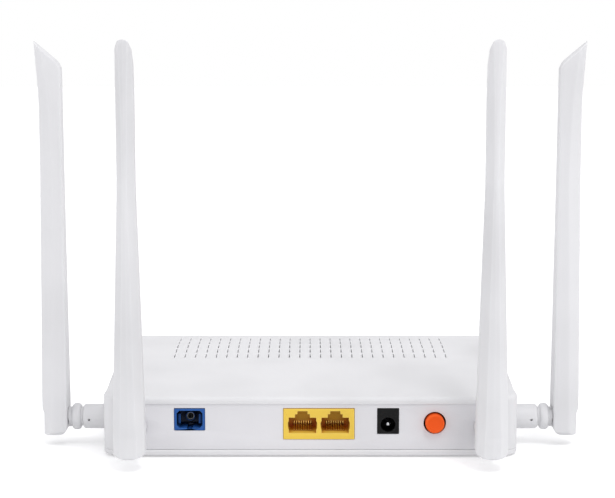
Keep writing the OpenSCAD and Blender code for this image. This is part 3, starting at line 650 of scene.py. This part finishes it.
def cover_solid():
    """The cover's outside and inside, joined along its open edges."""
    skin = Skin()
    lines_x, lines_y = flat_lines()
    add_flat(skin, lines_x, lines_y)
    add_vents(skin)
    add_border(skin, border_loop(lines_x, lines_y))
    n = len(skin.points)
    verts = [p[0] for p in skin.points] + [p[1] for p in skin.points]
    faces = skin.faces + [[i + n for i in reversed(f)] for f in skin.faces]
    uses = {}
    for f in skin.faces:
        for a, b in zip(f, f[1:] + f[:1]):
            uses.setdefault((min(a, b), max(a, b)), []).append((a, b))
    faces += [[b, a, a + n, b + n] for (a, b), *others in uses.values() if not others]
    return solid("cover_shell", (verts, faces))


def make_top_cover():
    cover = cover_solid()
    for side in ("side_left", "side_right"):
        p = joint_point(side + "_swivel")
        cut(cover, rod(SLEEVE_WAY_R, -6, 6, lambda a, b, d, p=p: (p.x + d, p.y + a, p.z + b), 64))
    lamp_z = node_box("light_pipe")[1].z - LIGHT_PIPE_R
    for i in range(LAMP_COUNT):
        lamp_x = (i - (LAMP_COUNT - 1) / 2) * LAMP_PITCH
        cut(cover, rod(LAMP_HOLE_R, FRONT_Y - 5, FRONT_Y + 2, along_y(lamp_x, lamp_z), 32))
    parts = [eased(cover, 0.16)]
    board_top = node_box("main_board")[1].z
    posts = [(x, y, CASE_POST_LOW) for x, y in CASE_SCREWS]
    posts += [(x, y, board_top + SOLDER_GAP) for x, y in BOARD_SCREWS]
    for i, (x, y, z) in enumerate(posts):
        top_z = roof_height(y) - WALL + OVERLAP
        tube = [(SCREW_WAY_R, top_z), (SCREW_WAY_R, z), (POST_R - 0.2, z), (POST_R, z + 0.2), (POST_R, top_z)]
        parts.append(bake(solid("post_" + str(i), lathe_closed(tube, along_z(x, y), 40, True))))
    stand_in("top_cover", parts, "case", "shell")


# ---------------------------------------------------------------- rear panel

BUTTON_WAY_R = 4.8


def make_rear_panel():
    low, high = PANEL_LOW, PANEL_HIGH
    face, inner = low.y, low.y + WALL
    gap = 0.15
    half_w = OPENING_HALF_W - gap
    top_z = high.z - 0.4
    plate = prism_part(box_outline(-half_w, half_w, low.z, top_z, 0.3), face, inner, plain)
    panel = solid("panel_plate", plate)
    for port in ("sc_receptacle", "lan_jack_housing", "dc_jack_housing"):
        a, b = node_box(port)
        outline = box_outline(a.x - gap, b.x + gap, a.z - gap, b.z + gap + SOLDER_GAP, 0.35)
        cut(panel, prism_part(outline, face - 2, inner + 2, plain))
    a, b = node_box("power_button")
    centre = along_y((a.x + b.x) / 2, (a.z + b.z) / 2)
    cut(panel, rod(BUTTON_WAY_R, face - 2, inner + 2, centre, 72))
    for side in ("rear_left", "rear_right"):
        p = joint_point(side + "_swivel")
        cut(panel, rod(SLEEVE_WAY_R, face - 2, inner + 2, along_y(p.x, p.z), 72))
    eased(panel, 0.3, 3)
    # the rim behind the cover's edge: two long rails and two uprights
    rim_x = OPENING_HALF_W + 1
    rim_rear, rim_front = inner - 0.2, inner + 1
    rail_h, upright_w = 1.2, 6
    rims = [
        ((-rim_x, rim_rear, low.z), (rim_x, rim_front, low.z + rail_h)),
        ((-rim_x, rim_rear, top_z - rail_h), (rim_x, rim_front, high.z)),
        ((-rim_x, rim_rear, low.z), (-rim_x + upright_w, rim_front, high.z)),
        ((rim_x - upright_w, rim_rear, low.z), (rim_x, rim_front, high.z)),
    ]
    parts = [panel]
    for i, (p, q) in enumerate(rims):
        parts.append(bake(solid("rim_" + str(i), box_part(p, q))))
    stand_in("rear_panel", parts, "case", "panel")


# ---------------------------------------------------------------- antennas

ANTENNAS = {
    "rear_left": (Vector((0, -1, 0)), Vector((1, 0, 0))),
    "rear_right": (Vector((0, -1, 0)), Vector((1, 0, 0))),
    "side_left": (Vector((-1, 0, 0)), Vector((0, -1, 0))),
    "side_right": (Vector((1, 0, 0)), Vector((0, 1, 0))),
}
PIN_K = 23.35
PIN_Z = -2.0
PIN_R = 1.5
FOOT_SWEEP_R = 6.25
FOOT_HALF_W = 6.7
FOOT_ROUND_H = 2.9
FOOT_CORNER_R = 1.4
FOOT_BULGE = 0.35
TIP_SLANT = math.radians(40)
TIP_K = 29.95
TIP_ARCH_R = 8.0
TIP_INNER_R = 2.0
SLOT_HALF_T = 2.65
TONGUE_HALF_T = 2.5
SLEEVE_HOLE_R = 0.55
SLEEVE_HOLE_K = 8.05
SLEEVE_HOLE_Z = -0.55

# turned outlines, as radius and distance from the wall's outside: the flanged sleeve, and the knuckle's
# barbed shaft with its ring and neck
SLEEVE_PROFILE = [
    (4.6, -4.0), (6.6, -4.0), (6.8, -3.8), (6.8, -2.25), (6.6, -2.05), (5.35, -2.05), (5.35, 9.75),
    (5.27, 10.15), (5.08, 10.55), (4.8, 10.78), (4.5, 10.85), (4.0, 10.85), (3.85, 10.7), (3.85, 1.0),
    (4.6, 1.0),
]
KNUCKLE_PROFILE = [
    (1.2, -1.0), (3.6, -1.0), (3.8, -0.8), (4.5, 0.0), (4.5, 0.8), (3.8, 0.8), (3.8, 10.95), (4.2, 10.95),
    (4.2, 11.8), (4.6, 11.85), (5.05, 12.0), (5.45, 12.35), (5.7, 12.85), (5.8, 13.4), (5.8, 14.1),
    (5.7, 14.7), (5.45, 15.2), (5.05, 15.6), (4.6, 15.8), (4.3, 15.95), (4.2, 16.2), (4.2, 17.4),
    (1.1, 17.4),
]

# the blade's section at each height above the swivel axis:
# height, inner side k0, crest k1, half width t, depth of the flat flank, half width of the crest
BLADE_SECTIONS = [
    (-8.2, 17.55, 28.25, 6.6, 7.0, 3.4),
    (5.0, 17.45, 29.25, 6.6, 7.0, 3.2),
    (105.0, 17.95, 28.25, 3.75, 4.6, 1.0),
    (140.0, 18.15, 28.25, 3.75, 5.6, 1.2),
    (164.3, 18.25, 29.95, 3.45, 8.2, 2.2),
]
BLADE_LOW = BLADE_SECTIONS[0][0]
BLADE_HIGH = BLADE_SECTIONS[-1][0]


def antenna_frame(name):
    """place(k, t, z): k out from the wall, t across, z up from the swivel axis, all in mm."""
    origin = joint_point(name + "_swivel")
    out, across = ANTENNAS[name]
    return lambda k, t, z: origin + out * k + across * t + Vector((0, 0, z))


def section_values(z):
    for low, high in zip(BLADE_SECTIONS, BLADE_SECTIONS[1:]):
        if z <= high[0]:
            break
    u = max(0.0, min(1.0, (z - low[0]) / (high[0] - low[0])))
    return [a + (b - a) * u for a, b in zip(low[1:], high[1:])]


def blended_section(z):
    """The section at height z, eased over the places where the taper changes."""
    reach = 7.0
    samples = [section_values(max(BLADE_LOW, min(BLADE_HIGH, z + reach * (i - 3) / 3))) for i in range(7)]
    weights = [1, 2, 3, 4, 3, 2, 1]
    if z > BLADE_HIGH - reach or z < BLADE_LOW + 3:
        return section_values(z)
    return [sum(w * s[i] for w, s in zip(weights, samples)) / sum(weights) for i in range(5)]


def section_loop(z):
    k0, k1, t, flank, crest = blended_section(z)
    corners = [(k0, -t, 0.8), (k0 + flank, -t, 2.2), (k1 - 0.4, -crest, 0.9), (k1 - 0.05, 0, 1.2),
               (k1 - 0.4, crest, 0.9), (k0 + flank, t, 2.2), (k0, t, 0.8)]
    points = fillet(corners, 4)
    # extra points along the long straight sides keep the faces even
    out = []
    for i, p in enumerate(points):
        q = points[(i + 1) % len(points)]
        out.append(p)
        if i % 5 == 4:
            out += [(p[0] + (q[0] - p[0]) * u, p[1] + (q[1] - p[1]) * u) for u in (0.25, 0.5, 0.75)]
    return out


def blade_bottom(k, t):
    z = BLADE_LOW + FOOT_ROUND_H * (1 - math.sqrt(max(0.0, 1 - (t / FOOT_HALF_W) ** 2)))
    # the foot bulges a little along k too, and its outer corner is rounded
    outer = max(0.0, k - (BLADE_SECTIONS[0][2] - FOOT_CORNER_R))
    z += FOOT_BULGE * ((k - PIN_K) / 5.0) ** 2
    z += FOOT_CORNER_R - math.sqrt(max(0.0, FOOT_CORNER_R ** 2 - outer ** 2))
    if k < PIN_K:
        z = max(z, PIN_Z - math.sqrt(max(0.0, FOOT_SWEEP_R ** 2 - (k - PIN_K) ** 2)))
    return z


def blade_top(k, t):
    arch = math.sqrt(TIP_ARCH_R ** 2 - t * t) - TIP_ARCH_R
    inner = max(0.0, BLADE_SECTIONS[-1][1] + TIP_INNER_R - k)
    roll = math.sqrt(max(0.0, TIP_INNER_R ** 2 - inner ** 2)) - TIP_INNER_R
    return BLADE_HIGH + (arch + math.sin(TIP_SLANT) * (k - TIP_K)) / math.cos(TIP_SLANT) + roll


def blade_rings():
    """The blade's rings of points, in k, t, z, from its foot to its tip."""
    rings = []
    low_end, high_end, steps = 4.0, BLADE_HIGH - 22, 44
    for u in [i / 6 for i in range(6)]:
        loop = section_loop(BLADE_LOW + 2 * u)
        rings.append([(k, t, blade_bottom(k, t) * (1 - u) + low_end * u) for k, t in loop])
    for z in [low_end + (high_end - low_end) * i / steps for i in range(steps)]:
        rings.append([(k, t, z) for k, t in section_loop(z)])
    for u in [i / 8 for i in range(9)]:
        loop = section_loop(high_end + (BLADE_HIGH - high_end) * u)
        rings.append([(k, t, high_end * (1 - u) + blade_top(k, t) * u) for k, t in loop])
    return rings


def add_cap(verts, faces, base, n, height, flip):
    """Closes the ring of n points at base by ever smaller rings, at the height of each of their points."""
    ring = verts[base:base + n]
    mid = sum(p[0] for p in ring) / n
    previous = list(range(base, base + n))
    for shrink in (0.9, 0.75, 0.55, 0.3):
        current = list(range(len(verts), len(verts) + n))
        inner = [(mid + (p[0] - mid) * shrink, p[1] * shrink) for p in ring]
        verts += [(k, t, height(k, t)) for k, t in inner]
        quads = [[previous[j - 1], previous[j], current[j], current[j - 1]] for j in list(range(1, n)) + [0]]
        faces += [quad[::-1] if flip else quad for quad in quads]
        previous = current
    faces.append(previous[::-1] if flip else previous)


def blade_part():
    """The blade's closed outside, in k, t, z."""
    rings = blade_rings()
    n = len(rings[0])
    verts = [p for ring in rings for p in ring]
    faces = bands(len(rings), n)
    tip = len(verts) - n
    add_cap(verts, faces, 0, n, blade_bottom, True)
    add_cap(verts, faces, tip, n, blade_top, False)
    return verts, faces


def slot_outline():
    """Side view of the slot that the tongue turns in, as k, z."""
    r, corner_z = 4.4, 4.2
    outer, inner_k, below = 2.6, 15, -12
    bend = math.sqrt(r * r - outer * outer)
    points = [(PIN_K + outer, below), (PIN_K + outer, PIN_Z - bend)]
    lower = math.degrees(math.atan2(-bend, outer))
    points += circle(r, 24, lower, 90, PIN_K, PIN_Z)[1:]
    points += [(PIN_K, corner_z), (inner_k, corner_z), (inner_k, below)]
    return points


def across(place, k=PIN_K, z=PIN_Z):
    """Places a shape turned about a line across an antenna: its tilt pin, or the line at k, z."""
    return lambda a, b, depth: place(k + a, depth, z + b)


def side_view(place):
    """Places a prism whose outline is k, z and whose depth is t."""
    return lambda k, z, t: place(k, t, z)


def turned(place):
    """Places a shape turned about the axis that leads out of the wall."""
    return lambda a, b, depth: place(depth, a, b)


def make_blade(name, place):
    verts, faces = blade_part()
    blade = solid("blade_" + name, ([place(*v) for v in verts], faces))
    bevel(blade, 0.45, 3, 38)
    bake(blade, 40)
    cut(blade, prism_part(slot_outline(), -SLOT_HALF_T, SLOT_HALF_T, side_view(place)))
    cut(blade, rod(PIN_R + 0.02, -5.5, 5.5, across(place), 40))
    bake(blade, 28)
    stand_in(name + "_blade", [blade], name + "_antenna", "antenna")


def make_socket(name, place):
    sleeve = solid("sleeve_" + name, lathe_closed(SLEEVE_PROFILE, turned(place), 96, True))
    hole_side = 1 if name.endswith("left") else -1
    hole_place = across(place, SLEEVE_HOLE_K, SLEEVE_HOLE_Z)
    cut(sleeve, rod(SLEEVE_HOLE_R, hole_side * 3.3, hole_side * 7.0, hole_place, 28))
    bake(sleeve, 30)
    stand_in(name + "_socket", [sleeve], "case", "antenna")


def make_knuckle(name, place):
    ring = solid("ring_" + name, lathe_closed(KNUCKLE_PROFILE, turned(place), 96, True))
    # the split that lets the barbed end of the shaft spring together
    verts, faces = box_part((-2, -0.5, -5.5), (5, 0.5, 5.5))
    cut(ring, ([place(*v) for v in verts], faces))
    # room in the ring's neck for the blade's foot as it turns about the pin
    cut(ring, rod(FOOT_SWEEP_R + 0.08, -7, 7, across(place), 96))
    bake(ring, 30)
    flat = prism_part(tongue_points(), -TONGUE_HALF_T, TONGUE_HALF_T, side_view(place))
    tongue = solid("tongue_" + name, flat)
    cut(tongue, rod(PIN_R + 0.05, -4.0, 4.0, across(place), 40))
    eased(tongue, 0.25, 2, 30)
    stand_in(name + "_knuckle", [ring, tongue], name + "_knuckle", "antenna")


def make_pin(name, place):
    half, chamfer = 5.4, 0.25
    profile = [(PIN_R - chamfer, -half), (PIN_R, chamfer - half), (PIN_R, half - chamfer),
               (PIN_R - chamfer, half)]
    pin = solid("pin_" + name, lathe_closed(profile, across(place), 48))
    stand_in(name + "_pin", [bake(pin, 30)], name + "_antenna", "steel")


def tongue_points():
    """Side view of the knuckle's tongue, as k, z: a round eye about the pin, flared down to the ring."""
    eye_r, root_k, low_z = 4.2, 15.4, PIN_Z - 2.3
    eye = [p for p in circle(eye_r, 30, -60, 95, PIN_K, PIN_Z) if p[1] > low_z]
    return [(root_k, -4.1), (PIN_K, low_z)] + eye + [(PIN_K - 3.0, 3.0), (root_k, 3.6)]


# ---------------------------------------------------------------- ports

SC_AXIS_H = 4.75
SC_BAY_DEPTH = 12.0
SC_MOUTH_HALF_W = 5.5
SC_MOUTH_HALF_H = 3.75
SC_MOUTH_CORNER = 1.15
SC_KEY_HALF_W = 1.15
SC_BORE_R = 1.65
LAN_PITCH = 13.97
LAN_DEPTH = 14.0
LAN_MOUTH_LOW = 2.6
DC_AXIS_BELOW_BOARD = 7.1
DC_MOUTH_R = 3.15


def box_cut(obj, x, y, z):
    """Cuts a box, given as its range along each axis, out of obj."""
    cut(obj, prism_part(box_outline(*x, *z), *y, plain))


def make_sc_receptacle():
    low, high = node_box("sc_receptacle")
    cx, cz, face = (low.x + high.x) / 2, low.z + SC_AXIS_H, low.y
    bay = face + SC_BAY_DEPTH
    body = solid("sc_body", prism_part(box_outline(low.x, high.x, low.z, high.z, 0.45), face, high.y, plain))
    w, h, c = SC_MOUTH_HALF_W, SC_MOUTH_HALF_H, SC_MOUTH_CORNER
    mouth = [(cx - w + c, cz - h), (cx + w - c, cz - h), (cx + w, cz - h + c), (cx + w, cz + h - c),
             (cx + w - c, cz + h), (cx - w + c, cz + h), (cx - w, cz + h - c), (cx - w, cz - h + c)]
    cut(body, prism_part(mouth, face - 1, bay, plain))
    key = SC_KEY_HALF_W
    box_cut(body, (cx - key, cx + key), (face - 1, bay - 2), (cz - h - 0.75, cz - h + 0.4))
    bake(body)
    cut(body, rod(SC_BORE_R, bay - 1, high.y + 1, along_y(cx, cz), 40))
    parts = [eased(body, 0.22)]
    arm_end, arm_half_h = bay + OVERLAP, 2.0
    for side in (-1, 1):
        # a latch arm: its hook is at the mouth, and it springs from the back of the bay
        tip, root = cx + side * 3.9, cx + side * 5.2
        flank = root - side * 0.55
        outline = [(tip, face + 1.6), (tip + side * 0.1, face + 1.4), (root, face + 1.9), (root, arm_end),
                   (flank, arm_end), (flank, face + 3.2), (tip, face + 2.8)]
        arm = prism_part(outline, cz - arm_half_h, cz + arm_half_h, lambda a, b, d: (a, b, d))
        parts.append(bake(solid("sc_arm_" + str(side), arm)))
    collar = [(SC_BORE_R, arm_end), (SC_BORE_R, face + 6.7), (1.8, face + 6.5), (1.95, face + 6.5),
              (2.15, face + 6.8), (2.2, arm_end)]
    parts.append(bake(solid("sc_collar", lathe_closed(collar, along_y(cx, cz), 48, True))))
    stand_in("sc_receptacle", parts, "case", "fibre_blue")


def lan_outline(cx, low):
    """A jack's mouth as one outline: the plug's body with its side lead-ins, then the latch's two steps."""
    top = low + 6.8
    right = [(5.85, low), (5.85, low + 1.5), (6.25, low + 2.2), (6.25, low + 4.6), (5.85, low + 5.3),
             (5.85, top), (3.15, top), (3.15, top + 1.5), (2.15, top + 1.5), (2.15, top + 2.8)]
    return [(cx + x, z) for x, z in right] + [(cx - x, z) for x, z in right[::-1]]


def make_lan_jack():
    low, high = node_box("lan_jack_housing")
    cx, face = (low.x + high.x) / 2, low.y
    end, mouth_low = face + LAN_DEPTH, low.z + LAN_MOUTH_LOW
    block = prism_part(box_outline(low.x, high.x, low.z, high.z, 0.3), face, high.y, plain)
    body = solid("lan_body", block)
    for side in (-1, 1):
        outline = lan_outline(cx + side * LAN_PITCH / 2, mouth_low)
        cut(body, prism_part(outline, face - 1, end, plain))
    eased(body, 0.2)
    # the ways that the contacts take from each mouth up to the board
    way_low, way_high, way_half_w = mouth_low + 0.1, mouth_low + 2.3, 4.2
    for side in (-1, 1):
        mid = cx + side * LAN_PITCH / 2
        path = [(end - 0.5, way_low), (end + 2.2, way_low), (end + 2.2, high.z + 1),
                (end + 1.2, high.z + 1), (end + 1.2, way_high), (end - 0.5, way_high)]
        cut(body, prism_part(path, mid - way_half_w, mid + way_half_w, lambda a, b, d: (d, a, b)))
    bake(body)
    stand_in("lan_jack_housing", [body], "case", "jack_yellow")


def make_dc_jack():
    low, high = node_box("dc_jack_housing")
    cx, cz, face = (low.x + high.x) / 2, high.z + SOLDER_GAP - DC_AXIS_BELOW_BOARD, low.y
    block = prism_part(box_outline(low.x, high.x, low.z, high.z, 0.35), face, high.y, plain)
    body = solid("dc_body", block)
    r = DC_MOUTH_R
    mouth = [(r + 0.2, face - 1), (r + 0.2, face + 0.05), (r, face + 0.3), (r, face + 9.5)]
    cut(body, lathe_closed(mouth, along_y(cx, cz), 64))
    bake(body)
    cut(body, rod(1.1, face + 8, high.y + 1, along_y(cx, cz), 40))
    eased(body, 0.2)
    stand_in("dc_jack_housing", [body], "case", "jack_black")

    low, high = node_box("dc_jack_pin")
    tip = low.y
    # the pin has a radius of 1 mm and a round tip
    rounded = [(math.sin(math.radians(a)), tip + 1 - math.cos(math.radians(a))) for a in (8, 25, 45, 65, 80)]
    pin = solid("dc_pin", lathe_closed(rounded + [(1.0, tip + 1), (1.0, high.y)], along_y(cx, cz), 48))
    stand_in("dc_jack_pin", [bake(pin, 40)], "case", "steel")


def make_power_button():
    low, high = node_box("power_button")
    cx, cz, face = (low.x + high.x) / 2, (low.z + high.z) / 2, low.y
    r, edge_r, stem = (high.x - low.x) / 2, 0.75, 1.8
    # a shallow dish for the finger, then the rounded edge
    profile = [(0.6, face + 0.32), (1.8, face + 0.24), (2.7, face + 0.1), (3.0, face), (r - edge_r, face)]
    for a in [math.radians(degrees) for degrees in (20, 40, 60, 75, 90)]:
        profile.append((r - edge_r + edge_r * math.sin(a), face + edge_r * (1 - math.cos(a))))
    profile += [(r, high.y - 0.2), (r - 0.2, high.y)]
    cap = solid("button_cap", lathe_closed(profile, along_y(cx, cz), 96))
    inner = PANEL_LOW.y + 0.5
    box_cut(cap, (cx - stem, cx + stem), (inner, high.y + 1), (cz - stem, cz + stem))
    bake(cap, 40)
    stand_in("power_button", [cap], "power_button", "button_orange")


# ---------------------------------------------------------------- bottom shell

TRAY_TOP = SHELL_LOW.z + 2.25
SEAM_DEPTH = 0.3
HEAD_WAY_R = 2.55
FOOT_X = 62
FOOT_Y = 43
FOOT_WELL_R = 5.1
KEYHOLE_X = 40
KEYHOLE_R = 4.0
KEYHOLE_SLOT_R = 2.1
RESET_AT = (30, 34)
RESET_HOLE_R = 1.0
AIR_SLOT_PITCH = 5
AIR_SLOT_HALF = (1, 6)
AIR_SLOT_ROWS = (-30, 18)


def tray_solid():
    round_r = 1.0
    rings = []
    for a in [math.radians(degrees) for degrees in (0, 15, 30, 45, 60, 75, 90)]:
        rings.append((round_r * (1 - math.sin(a)), SHELL_LOW.z + round_r * (1 - math.cos(a))))
    rings += [(0.0, TRAY_TOP - 0.1), (0.1, TRAY_TOP)]
    # the band under the cover's edge is set back, which makes the parting line
    rings += [(SEAM_DEPTH, TRAY_TOP), (SEAM_DEPTH, SEAM_HIGH - 0.03)]
    verts = []
    for inset, z in rings:
        half_w, rear, front, r = HALF_W - inset, REAR_Y + inset, FRONT_Y - inset, CORNER_R - inset
        loop = fillet([(-half_w, rear, r), (half_w, rear, r), (half_w, front, r), (-half_w, front, r)], 14)
        verts += [(x, y, z) for x, y in loop]
    n = len(verts) // len(rings)
    return solid("shell_tray", (verts, bands(len(rings), n) + ends(len(rings), n)))


def tray_holes():
    """What is drilled into the tray: screw ways, feet wells, keyholes, the reset hole and air slots."""
    below, above = -2, TRAY_TOP + 1
    well_top = SHELL_LOW.z + 0.5
    holes = [rod(HEAD_WAY_R, below, above, along_z(x, y), 40) for x, y in CASE_SCREWS]
    holes += [rod(FOOT_WELL_R, below, well_top, along_z(sx * FOOT_X, sy * FOOT_Y), 48)
              for sx in (-1, 1) for sy in (-1, 1)]
    turn = math.degrees(math.asin(KEYHOLE_SLOT_R / KEYHOLE_R))
    keyhole = circle(KEYHOLE_R, 40, 90 + turn, 450 - turn) + circle(KEYHOLE_SLOT_R, 20, 0, 180, 0, 7)
    holes += [prism_part(keyhole, below, above, along_z(s * KEYHOLE_X, 0)) for s in (-1, 1)]
    holes.append(rod(RESET_HOLE_R, below, above, along_z(*RESET_AT), 24))
    half_w, half_l = AIR_SLOT_HALF
    for x, y in [(i * AIR_SLOT_PITCH, y) for i in range(-5, 6) for y in AIR_SLOT_ROWS]:
        corners = [(x + a * half_w, y + b * half_l, half_w - 0.01)
                   for a, b in ((-1, -1), (1, -1), (1, 1), (-1, 1))]
        holes.append(prism_part(fillet(corners, 5), below, above, along_z(0, 0)))
    return holes


def shell_lip():
    """The lip inside the cover's walls, open along the rear panel."""
    y0, y1, x0, x1 = REAR_Y + 2.15, REAR_Y + 3.35, HALF_W - 2.15, HALF_W - 3.35
    end_x, outer_r, inner_r = 83, 5.8, 4.6
    outside = [(-end_x, y0, 0), (-x0, y0, outer_r), (-x0, -y0, outer_r), (x0, -y0, outer_r),
               (x0, y0, outer_r), (end_x, y0, 0)]
    inside = [(end_x, y1, 0), (x1, y1, inner_r), (x1, -y1, inner_r), (-x1, -y1, inner_r),
              (-x1, y1, inner_r), (-end_x, y1, 0)]
    lip = prism_part(fillet(outside + inside, 6), TRAY_TOP - OVERLAP, SHELL_LOW.z + 4.4, along_z(0, 0))
    return bake(solid("shell_lip", lip))


def shell_post(i, x, y):
    """A case screw's post. The screw's head sits against the step inside it."""
    root, step, top, r = TRAY_TOP - OVERLAP, 7.0, 12.0, 3.5
    tube = [(HEAD_WAY_R, root), (HEAD_WAY_R, step), (1.45, step), (1.45, top), (r - 0.2, top),
            (r, top - 0.2), (r, root)]
    return bake(solid("shell_post_" + str(i), lathe_closed(tube, along_z(x, y), 40, True)))


def make_bottom_shell():
    tray = tray_solid()
    cut(tray, joined(tray_holes()))
    eased(tray, 0.15)
    posts = [shell_post(i, x, y) for i, (x, y) in enumerate(CASE_SCREWS)]
    stand_in("bottom_shell", [tray, shell_lip()] + posts, "case", "shell")


def dress_cad_nodes():
    """Every CAD node gets its slot's material."""
    slots = {s["node"]: s["material_slot"] for s in frame["record"]["subparts"]}
    for name, obj in frame["nodes"].items():
        material = SLOT_MATERIALS[slots[name]]
        if not obj.material_slots:
            obj.data.materials.append(material)
        for slot in obj.material_slots:
            slot.link = "OBJECT"
            slot.material = material


# ---------------------------------------------------------------- camera, light and floor

VIEW_AIM = Vector((-1.24, REAR_Y, 89.83))
VIEW_PITCH = math.radians(7.48)
VIEW_DISTANCE = 736.8
FOCAL_LENGTH = 102.62
SENSOR_WIDTH = 36
KEY_DIRECTION = Vector((-0.234, 0.459, -0.857))
KEY_ENERGY = 0.56
KEY_ANGLE = math.radians(15)
FLOOR_REACH = 4000
FLOOR_GLOW = 0.2


def add_camera(scene):
    camera = bpy.data.objects.new("camera", bpy.data.cameras.new("camera"))
    camera.data.lens = FOCAL_LENGTH
    camera.data.sensor_width = SENSOR_WIDTH
    camera.data.clip_start = 0.05
    camera.data.clip_end = 20
    back = Vector((0, -math.cos(VIEW_PITCH), math.sin(VIEW_PITCH)))
    camera.location = (VIEW_AIM + back * VIEW_DISTANCE) * MM
    camera.rotation_euler = (math.pi / 2 - VIEW_PITCH, 0, 0)
    scene.collection.objects.link(camera)
    scene.camera = camera


def add_world(scene):
    """Soft light from all round, a little stronger from above. The camera sees plain white."""
    world = bpy.data.worlds.new("studio")
    world.use_nodes = True
    tree = world.node_tree
    glow = next(n for n in tree.nodes if n.type == "BACKGROUND")
    put(glow, {"Color": (0.985, 0.985, 1.0, 1)})
    direction = add(tree, "ShaderNodeTexCoord").outputs["Generated"]
    split = add(tree, "ShaderNodeSeparateXYZ")
    link(tree, direction, split.inputs["Vector"])
    link(tree, ramp(tree, split.outputs["Z"], 0.0, 1.0, 0.72, 0.96), glow.inputs["Strength"])
    seen = add(tree, "ShaderNodeBackground", Color=(1, 1, 1, 1), Strength=1.0)
    path = add(tree, "ShaderNodeLightPath")
    mix = add(tree, "ShaderNodeMixShader")
    link(tree, path.outputs["Is Camera Ray"], mix.inputs["Fac"])
    link(tree, glow.outputs["Background"], mix.inputs[1])
    link(tree, seen.outputs["Background"], mix.inputs[2])
    out = next(n for n in tree.nodes if n.type == "OUTPUT_WORLD")
    link(tree, mix.outputs["Shader"], out.inputs["Surface"])
    scene.world = world


def add_light(scene, name, kind, energy, direction, place=(0, 0, 0)):
    light = bpy.data.lights.new(name, kind)
    light.energy = energy
    obj = bpy.data.objects.new(name, light)
    obj.location = place
    obj.rotation_mode = "QUATERNION"
    obj.rotation_quaternion = direction.to_track_quat("-Z", "Y")
    scene.collection.objects.link(obj)
    return light


def add_fill(scene, name, place, size, energy):
    """A round soft light, in metres, that looks at the middle of the case."""
    light = add_light(scene, name, "AREA", energy, Vector((0, 0, 0.05)) - Vector(place), place)
    light.shape = "DISK"
    light.size = size


def add_floor():
    corners = [(x * FLOOR_REACH, y * FLOOR_REACH, 0) for x, y in ((-1, -1), (1, -1), (1, 1), (-1, 1))]
    floor = new_piece("floor", corners, [[0, 1, 2, 3]])
    mat, tree, bsdf, coords = shader("floor_pale")
    base = tint(tree, (0.66, 0.66, 0.665), noise(tree, coords, 6, 2), (0.69, 0.69, 0.695))
    # the camera sees the floor a little paler than it lights the terminal
    seen_by = add(tree, "ShaderNodeLightPath")
    base = tint(tree, base, seen_by.outputs["Is Camera Ray"], (0.98, 0.98, 0.98))
    link(tree, base, bsdf.inputs["Base Color"])
    # a light table: the floor glows a little, so nothing on it turns black at its contact line
    put(bsdf, {"Roughness": 0.9, "Emission Color": (1, 1, 1, 1), "Emission Strength": FLOOR_GLOW})
    floor.data.materials.append(mat)


def build_stage():
    scene = bpy.context.scene
    scene.view_settings.view_transform = "Standard"
    add_camera(scene)
    add_world(scene)
    add_light(scene, "key_light", "SUN", KEY_ENERGY, KEY_DIRECTION).angle = KEY_ANGLE
    add_fill(scene, "fill_left", (-1.5, -0.5, 0.7), 0.9, 2.6)
    add_fill(scene, "fill_front", (0.2, -2.0, 0.55), 1.4, 2.6)
    add_fill(scene, "fill_right", (1.5, -0.55, 0.5), 0.9, 3.2)
    add_floor()


dress_cad_nodes()
make_top_cover()
make_rear_panel()
make_bottom_shell()
make_sc_receptacle()
make_lan_jack()
make_dc_jack()
make_power_button()
for antenna in ANTENNAS:
    at = antenna_frame(antenna)
    make_blade(antenna, at)
    make_socket(antenna, at)
    make_knuckle(antenna, at)
    make_pin(antenna, at)
build_stage()
